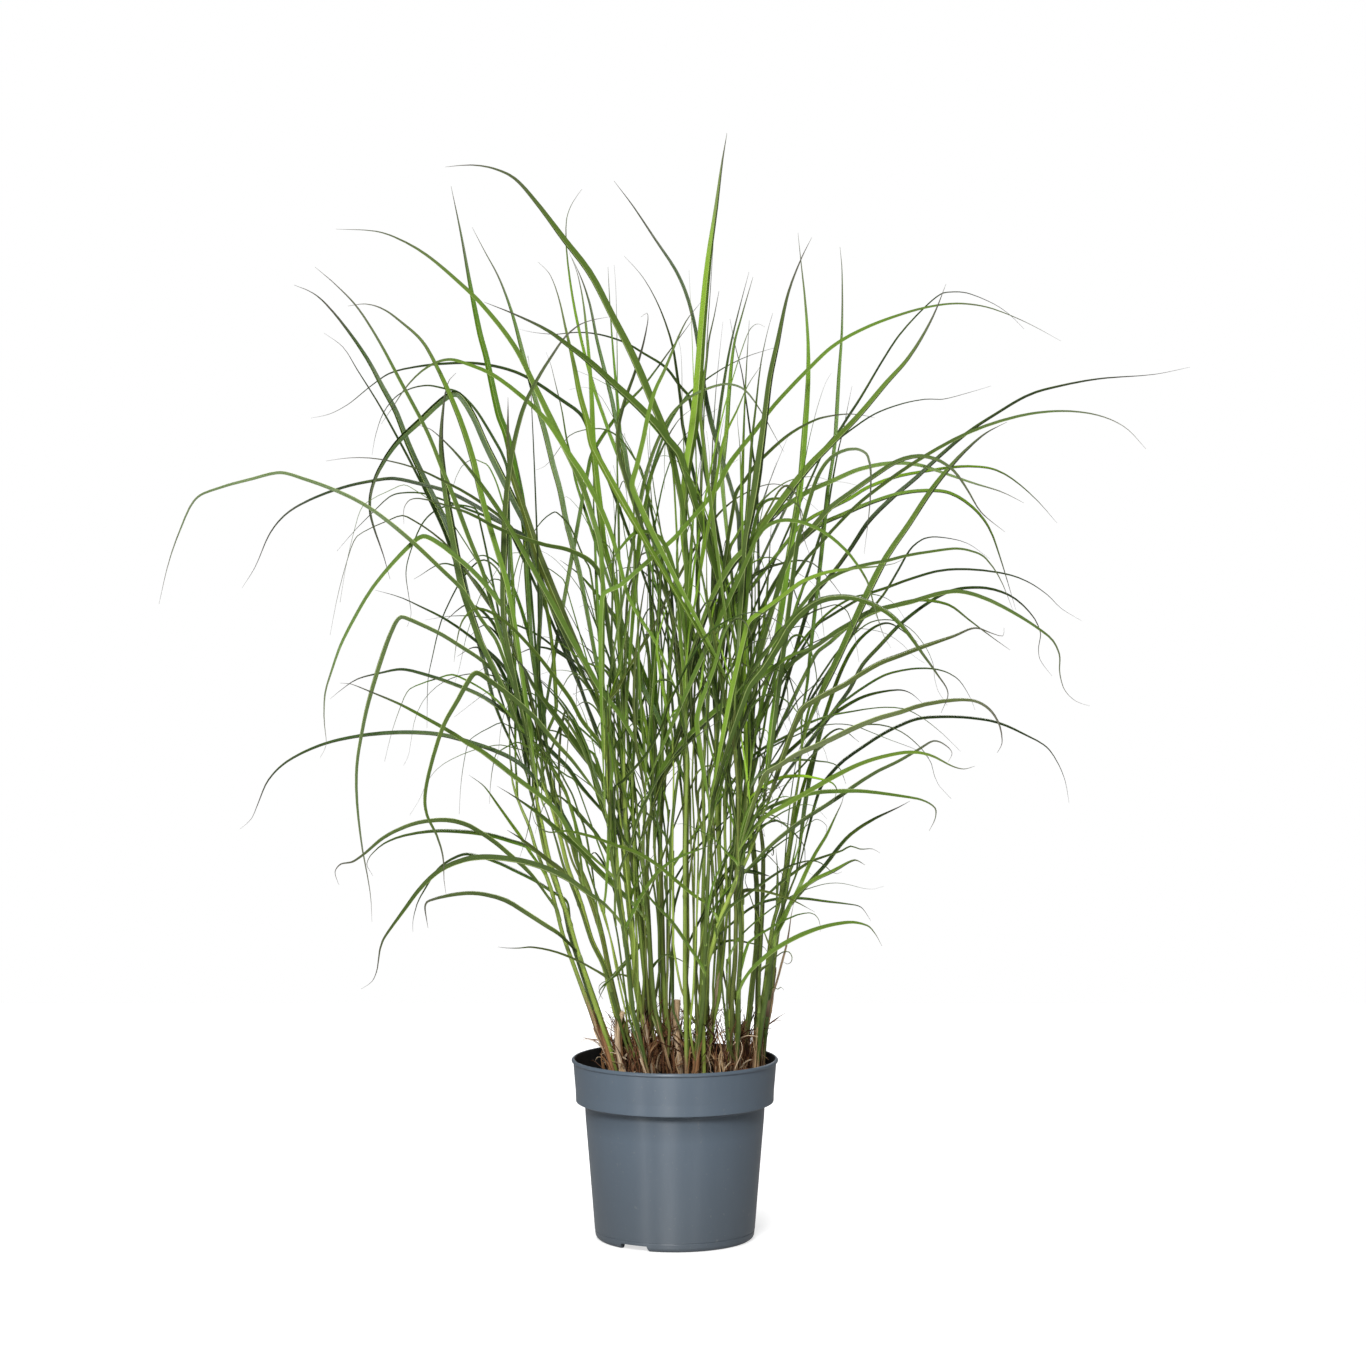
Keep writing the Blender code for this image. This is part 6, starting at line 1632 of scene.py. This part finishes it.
def build_soil():
    """The root ball: a rough mound over a smooth body that fills the pot, and crumbs on the mound."""
    skin = Skin()
    spokes = [2 * math.pi * n / SOIL_SPOKES for n in range(SOIL_SPOKES)]
    ways = [(math.cos(a), math.sin(a)) for a in spokes]
    rings = []
    for k in range(SOIL_RINGS + 1):
        radius = max(0.4, SOIL_EDGE * (k / SOIL_RINGS) ** 0.8)
        shown = min(radius, SOIL_REACH)
        heights = [peat_height(radius * x, radius * y) for x, y in ways]
        rings.append([(shown * x * MM, shown * y * MM, z * MM) for (x, y), z in zip(ways, heights)])
    for radius, height in SOIL_BODY:
        rings.append([(radius * x * MM, radius * y * MM, height * MM) for x, y in ways])
    number = len(rings)
    flat = np.zeros((number * SOIL_SPOKES, 3))
    skin.add(rings, flat, PEAT_TONES[0], np.zeros(number), 0)
    chance = random.Random(SEED + 40)
    for _ in range(CRUMBS):
        add_crumb(skin, chance)
    soil = skin.piece("peat_root_ball", [peat()], 60)
    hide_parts("soil")
    return soil


def add_crumb(skin, chance):
    """A small bent ball of peat, half sunk into the mound."""
    radius = 86 * math.sqrt(chance.random())
    a = chance.uniform(0, 2 * math.pi)
    x, y = radius * math.cos(a), radius * math.sin(a)
    size = chance.uniform(0.5, 1.3) if chance.random() < 0.75 else chance.uniform(1.3, 2.8)
    middle = np.array((x, y, peat_height(x, y) + 0.25 * size))
    stretch = np.array([chance.uniform(0.7, 1.4) for _ in range(3)]) * size
    turn = chance.uniform(0, 3.1)
    rings = []
    for k in range(CRUMB_RINGS):
        tilt = math.pi * (k + 0.35) / (CRUMB_RINGS - 0.3)
        ring = []
        for n in range(CRUMB_CORNERS):
            b = 2 * math.pi * n / CRUMB_CORNERS + turn
            ball = np.array((math.sin(tilt) * math.cos(b), math.sin(tilt) * math.sin(b), math.cos(tilt)))
            bent = 1 + 0.35 * noise.noise(Vector(ball * 1.3) + Vector((x, y, radius)))
            ring.append((middle + ball * stretch * bent) * MM)
        rings.append(ring)
    tone = PEAT_TONES[3] if chance.random() < 0.04 else PEAT_TONES[chance.randrange(3)]
    skin.add(rings, np.zeros((CRUMB_RINGS * CRUMB_CORNERS, 3)), tone, np.zeros(CRUMB_RINGS), 0)


soil = build_soil()
print("peat corners:", len(soil.data.vertices))

# %% [markdown]
# ## Dead sheaths and dry litter
#
# Old sheaths still clasp the culms' feet, tan to brown and torn at the top, and curled dry leaves
# lie between them. A sheath is a curved shell that opens as it rises. A dry leaf is a thin ribbon
# that wanders up from the peat and curls.

# %% Dead sheaths
DRY_TONES = [
    (0.72, 0.50, 0.28),
    (0.42, 0.22, 0.10),
    (0.90, 0.72, 0.50),
    (0.08, 0.032, 0.015),
    (0.24, 0.11, 0.05),
]
SHEATH_HEIGHTS = {
    "k1": 75, "k4": 85, "k5": 60, "k6": 75, "k8": 80, "k9": 70, "k13": 95, "k15": 70, "k16": 60, "k17": 105,
}
SHEATH_STEP = STEP / 2
SHEATH_CORNERS = 9
SHEATH_OUTSIDE, SHEATH_INSIDE = 0.16, 0.10
STREAKS = 3
ALL_ROUND, HALF_ROUND = 2.95, 1.9


def add_dead_sheath(skin, culm, chance, height, wide, gape, tone):
    """A dead sheath round a culm's foot. wide is half its turn at the foot, gape how far it stands off."""
    points = finer(culm.points())
    down = unit(points[0] - points[1]) * SHEATH_STEP * MM
    points = np.vstack([points[0] + 2 * down, points[0] + down, points])
    count = max(5, min(len(points) - 2, round(height / SHEATH_STEP)))
    thick = culm_thickness if culm.leaves else (lambda stub, place: stub.width / 2)
    forward = unit(np.gradient(points, axis=0))
    side = unit(np.cross(forward, (0, 1, 0)))
    front = np.cross(side, forward)
    facing_turn = chance.uniform(0, 2 * math.pi)
    rings, lay = [], []
    shares = np.linspace(-1, 1, SHEATH_CORNERS)
    for k in range(count):
        t = k / (count - 1)
        radius = thick(culm, min(k / 2, len(culm.depths) - 10))
        radius += 0.45 + 0.3 * math.sin(9 * t + facing_turn)
        half = wide * (1 - t) ** 0.55 + 0.10
        centre = points[k]
        away = math.cos(facing_turn) * side[k] + math.sin(facing_turn) * front[k]
        centre = centre + away * gape * t**2.2 * MM
        outer, inner = [], []
        for s in shares:
            a = facing_turn + s * half
            arm = math.cos(a) * side[k] + math.sin(a) * front[k]
            ripple = 0.25 * math.sin(5 * s + 7 * t + facing_turn)
            outer.append(centre + arm * (radius + ripple + SHEATH_OUTSIDE) * MM)
            inner.append(centre + arm * (radius + ripple - SHEATH_INSIDE) * MM)
        rings.append(outer + inner[::-1])
        high = k * SHEATH_STEP * MM
        streaks = [s * STREAKS for s in shares]
        lay.append([(s, 1, high) for s in streaks] + [(s, -1, high) for s in streaks[::-1]])
    skin.add(rings, lay, tone, np.linspace(0, 1, count), 0)


chance = random.Random(SEED + 50)
skin = Skin()
for culm in culms + stubs:
    tall = SHEATH_HEIGHTS.get(culm.name, 0)
    if culm.name in FRESH_TO_THE_SOIL:
        continue
    if tall or not culm.leaves:
        height = tall or len(culm.depths) * STEP * 1.1
        shade = 4 if culm.name == "k1" else chance.choice((0, 0, 2))
        add_dead_sheath(skin, culm, chance, height, ALL_ROUND, 1.0, DRY_TONES[shade])
        add_dead_sheath(skin, culm, chance, height * 0.8, HALF_ROUND, 2.4, DRY_TONES[1])
    for _ in range(3 if tall else chance.choice((0, 1, 2))):
        height = tall * chance.uniform(0.4, 1.0) if tall else chance.uniform(15, 55)
        gape = chance.uniform(0.5, 5) if chance.random() < 0.8 else chance.uniform(5, 8)
        tone = DRY_TONES[chance.choice((0, 1, 1, 2, 3, 4, 4))]
        add_dead_sheath(skin, culm, chance, height, chance.uniform(0.3, 1.0), gape, tone)
dead_sheaths = skin.piece("dead_sheaths", [STRAW], 60)
print("dead sheath corners:", len(dead_sheaths.data.vertices))

# %% [markdown]
# The litter lies in clusters, each with a column of the photo, its spread in pixels, a depth in mm
# and a share of the strands. A kind of strand has its number, then the ranges of its length and width
# in mm, of its curl and of its rise, and the tones it may have.

# %% Dry litter
DRY_STEP = 2.2
RIBBON = np.array([-1, 0, 1])
LITTER_EDGE = 87.0
OVER_THE_RIM = 172.0
SOIL_MM_PER_PIXEL = 0.918
MIDDLE_ASIDE = 7.5
ANY_TONE = (0, 1, 2, 3, 4)


def add_dry_leaf(skin, chance, foot, length, width, curl, rise, tones=ANY_TONE):
    """A thin ribbon from a foot in mm that wanders upwards and curls."""
    spot = np.array(foot, float)
    turn = chance.uniform(0, 2 * math.pi)
    heading = unit(np.array((math.cos(turn), math.sin(turn), rise)))
    bend_to = unit(np.array([chance.uniform(-1, 1) for _ in range(3)]))
    steps = max(8, round(length / DRY_STEP))
    points, face_way = [], []
    face = unit(np.cross(heading, bend_to))
    for k in range(steps):
        points.append(spot.copy())
        face_way.append(face)
        wobble = np.array([chance.uniform(-1, 1) for _ in range(3)])
        swing = curl * (0.1 + 1.8 * (k / steps) ** 2)
        heading = unit(heading + swing * bend_to + 0.14 * wobble)
        bend_to = unit(bend_to - (bend_to @ heading) * heading + 0.12 * wobble)
        face = unit(np.cross(heading, bend_to) + 0.25 * face)
        spot = spot + heading * length / steps
        radius = math.hypot(spot[0], spot[1])
        ground = peat_height(spot[0], spot[1]) + 0.8
        if spot[2] < ground:
            spot[2] = ground
        if radius > LITTER_EDGE and spot[2] < OVER_THE_RIM:
            spot[:2] *= LITTER_EDGE / radius
    points = np.array(points)
    forward = unit(np.gradient(points, axis=0))
    wide = unit(np.cross(forward, np.array(face_way)))
    out = np.cross(wide, forward)
    rings, lay = [], []
    for k in range(steps):
        t = k / (steps - 1)
        half = width / 2 * (0.5 + 0.5 * min(1, t * 6)) * (1 - t**3) + 0.12
        dip = 0.35 * half * (1 - RIBBON**2)
        top = points[k] + RIBBON[:, None] * half * wide[k] - dip[:, None] * out[k]
        low = top - 0.18 * out[k]
        rings.append(np.vstack([top, low[::-1]]) * MM)
        far = k * DRY_STEP * MM
        lay.append([(s, 1, far) for s in RIBBON] + [(s, -1, far) for s in RIBBON[::-1]])
    skin.add(rings, lay, DRY_TONES[chance.choice(tones)], np.linspace(0, 1, steps), 0)


def in_front(pixel, depth):
    """The place in mm on the soil that lies behind a pixel column, at a depth."""
    return (pixel - MIDDLE) * SOIL_MM_PER_PIXEL + MIDDLE_ASIDE, depth


CLUSTERS = [
    (624, 16, 30, 1.0),
    (640, 14, 4, 0.5),
    (697, 10, 14, 0.7),
    (743, 14, 22, 1.1),
    (722, 12, -12, 0.3),
    (664, 16, 24, 0.8),
    (678, 12, 30, 0.5),
]
KINDS = [
    (40, (26, 72), (0.7, 2.2), (0.0, 0.06), (3, 12), ANY_TONE),
    # This kind leans to the darkest tones: partly dark damp litter, partly painted shade in the gaps.
    (56, (35, 88), (0.6, 1.7), (0.0, 0.06), (5, 18), (1, 3, 3, 4, 4)),
    (20, (14, 46), (1.0, 2.6), (0.12, 0.4), (0.6, 4), ANY_TONE),
    (20, (25, 60), (0.4, 0.8), (0.05, 0.22), (1.5, 6), (0, 2, 4)),
]
AT_EACH_FOOT = ((12, 36), (0.8, 2.8), (0.1, 0.4), (0.3, 3.0))
chance = random.Random(SEED + 60)
skin = Skin()
for column, spread, depth, share in CLUSTERS:
    for number, lengths, widths, curls, rises, tones in KINDS:
        for _ in range(round(number * share)):
            x, y = in_front(column + chance.gauss(0, spread / 2), depth + chance.gauss(0, 14))
            foot = (x, y, peat_height(x, y) - 1)
            size = [chance.uniform(*pair) for pair in (lengths, widths, curls, rises)]
            add_dry_leaf(skin, chance, foot, *size, tones)
for culm in culms:
    base = culm.points()[0] / MM
    foot = (base[0] + chance.gauss(0, 5), base[1] + chance.gauss(0, 5), base[2] - 3)
    size = [chance.uniform(*pair) for pair in AT_EACH_FOOT]
    add_dry_leaf(skin, chance, foot, *size)
litter = skin.piece("dry_litter", [STRAW], 60)
print("dry litter corners:", len(litter.data.vertices))

# %% [markdown]
# ## Floor and light
#
# The photo is plain white, with one faint soft shadow to the right of the foot. The floor glows for
# the camera, a little less close to the pot, so that only the shadow there shows. A broad light above
# the camera shapes the plant, a tall strip at either side leaves an upright sheen on the pot, and a
# soft one behind keeps the back from going black.

# %% Floor and light
HALF_FLOOR = 1.5
FLOOR_LIFT = 0.66
SHADE_FROM, SHADE_TO = 0.09, 0.2
ROOM_LIGHT = 0.085
floor_mesh = bpy.data.meshes.new("floor")
floor_corners = [(x * HALF_FLOOR, y * HALF_FLOOR, 0) for x, y in ((-1, -1), (1, -1), (1, 1), (-1, 1))]
floor_mesh.from_pydata(floor_corners, [], [(0, 1, 2, 3)])
floor = bpy.data.objects.new("floor", floor_mesh)
bpy.context.scene.collection.objects.link(floor)
floor_look = Finish("floor_white", 0.9, 0.1)
floor_look.shader.inputs["Base Color"].default_value = (0.55, 0.55, 0.55, 1)
floor_look.shader.inputs["Emission Color"].default_value = (1, 1, 1, 1)
seen = floor_look.node("ShaderNodeLightPath", {}).outputs["Is Camera Ray"]
spot = floor_look.node("ShaderNodeTexCoord", {}).outputs["Object"]
from_pot = floor_look.node("ShaderNodeVectorMath", {0: spot}, operation="LENGTH").outputs["Value"]
glow = floor_look.span(from_pot, SHADE_FROM, SHADE_TO, FLOOR_LIFT, 1.0)
lift = floor_look.sum("MULTIPLY", seen, glow)
floor_look.feed(floor_look.shader.inputs["Emission Strength"], lift)
floor_mesh.materials.append(floor_look.material)
floor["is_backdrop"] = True

world = bpy.data.worlds.new("white_room")
bpy.context.scene.world = world
world.use_nodes = True
tree = world.node_tree
path = tree.nodes.new("ShaderNodeLightPath")
amount = tree.nodes.new("ShaderNodeMapRange")
amount.inputs["To Min"].default_value = ROOM_LIGHT
amount.inputs["To Max"].default_value = 1.0
tree.links.new(path.outputs["Is Camera Ray"], amount.inputs["Value"])
tree.links.new(amount.outputs[0], tree.nodes["Background"].inputs["Strength"])
tree.nodes["Background"].inputs["Color"].default_value = (1, 1, 1, 1)


def softbox(name, place, aim, width, height, power):
    """A soft light that faces a point, with its sizes in metres and its power in watts."""
    light = bpy.data.lights.new(name, "AREA")
    light.shape = "RECTANGLE"
    light.size = width
    light.size_y = height
    light.energy = power
    lamp = bpy.data.objects.new(name, light)
    lamp.location = place
    lamp.rotation_euler = (Vector(aim) - Vector(place)).to_track_quat("-Z", "Y").to_euler()
    bpy.context.scene.collection.objects.link(lamp)


softbox("key_above_front", (-0.5, -3.0, 2.3), (0, 0, 0.5), 1.0, 0.9, 124)
softbox("strip_front_left", (-1.75, -2.05, 0.9), (0, 0, 0.4), 0.2, 1.8, 16)
softbox("strip_front_right", (1.15, -2.2, 0.8), (0, 0, 0.4), 0.16, 1.6, 6)
softbox("soft_behind", (0.2, 2.9, 1.8), (0, 0, 0.5), 1.6, 1.2, 34)
bpy.context.scene.view_settings.view_transform = "Standard"
print("lights:", len(bpy.data.lights))

# %% [markdown]
# ## Size and finish
#
# Both boxes, the solids' and the visual model's, are printed. The visual model may stand only a
# little proud of the solids' box.

# %% Size and finish
shown_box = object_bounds()
sizes = {"cad": [list(corner) for corner in cad_box], "visual": [list(corner) for corner in shown_box]}
for name, (low, high) in sizes.items():
    print(name, [round(v, 4) for v in low], [round(v, 4) for v in high])
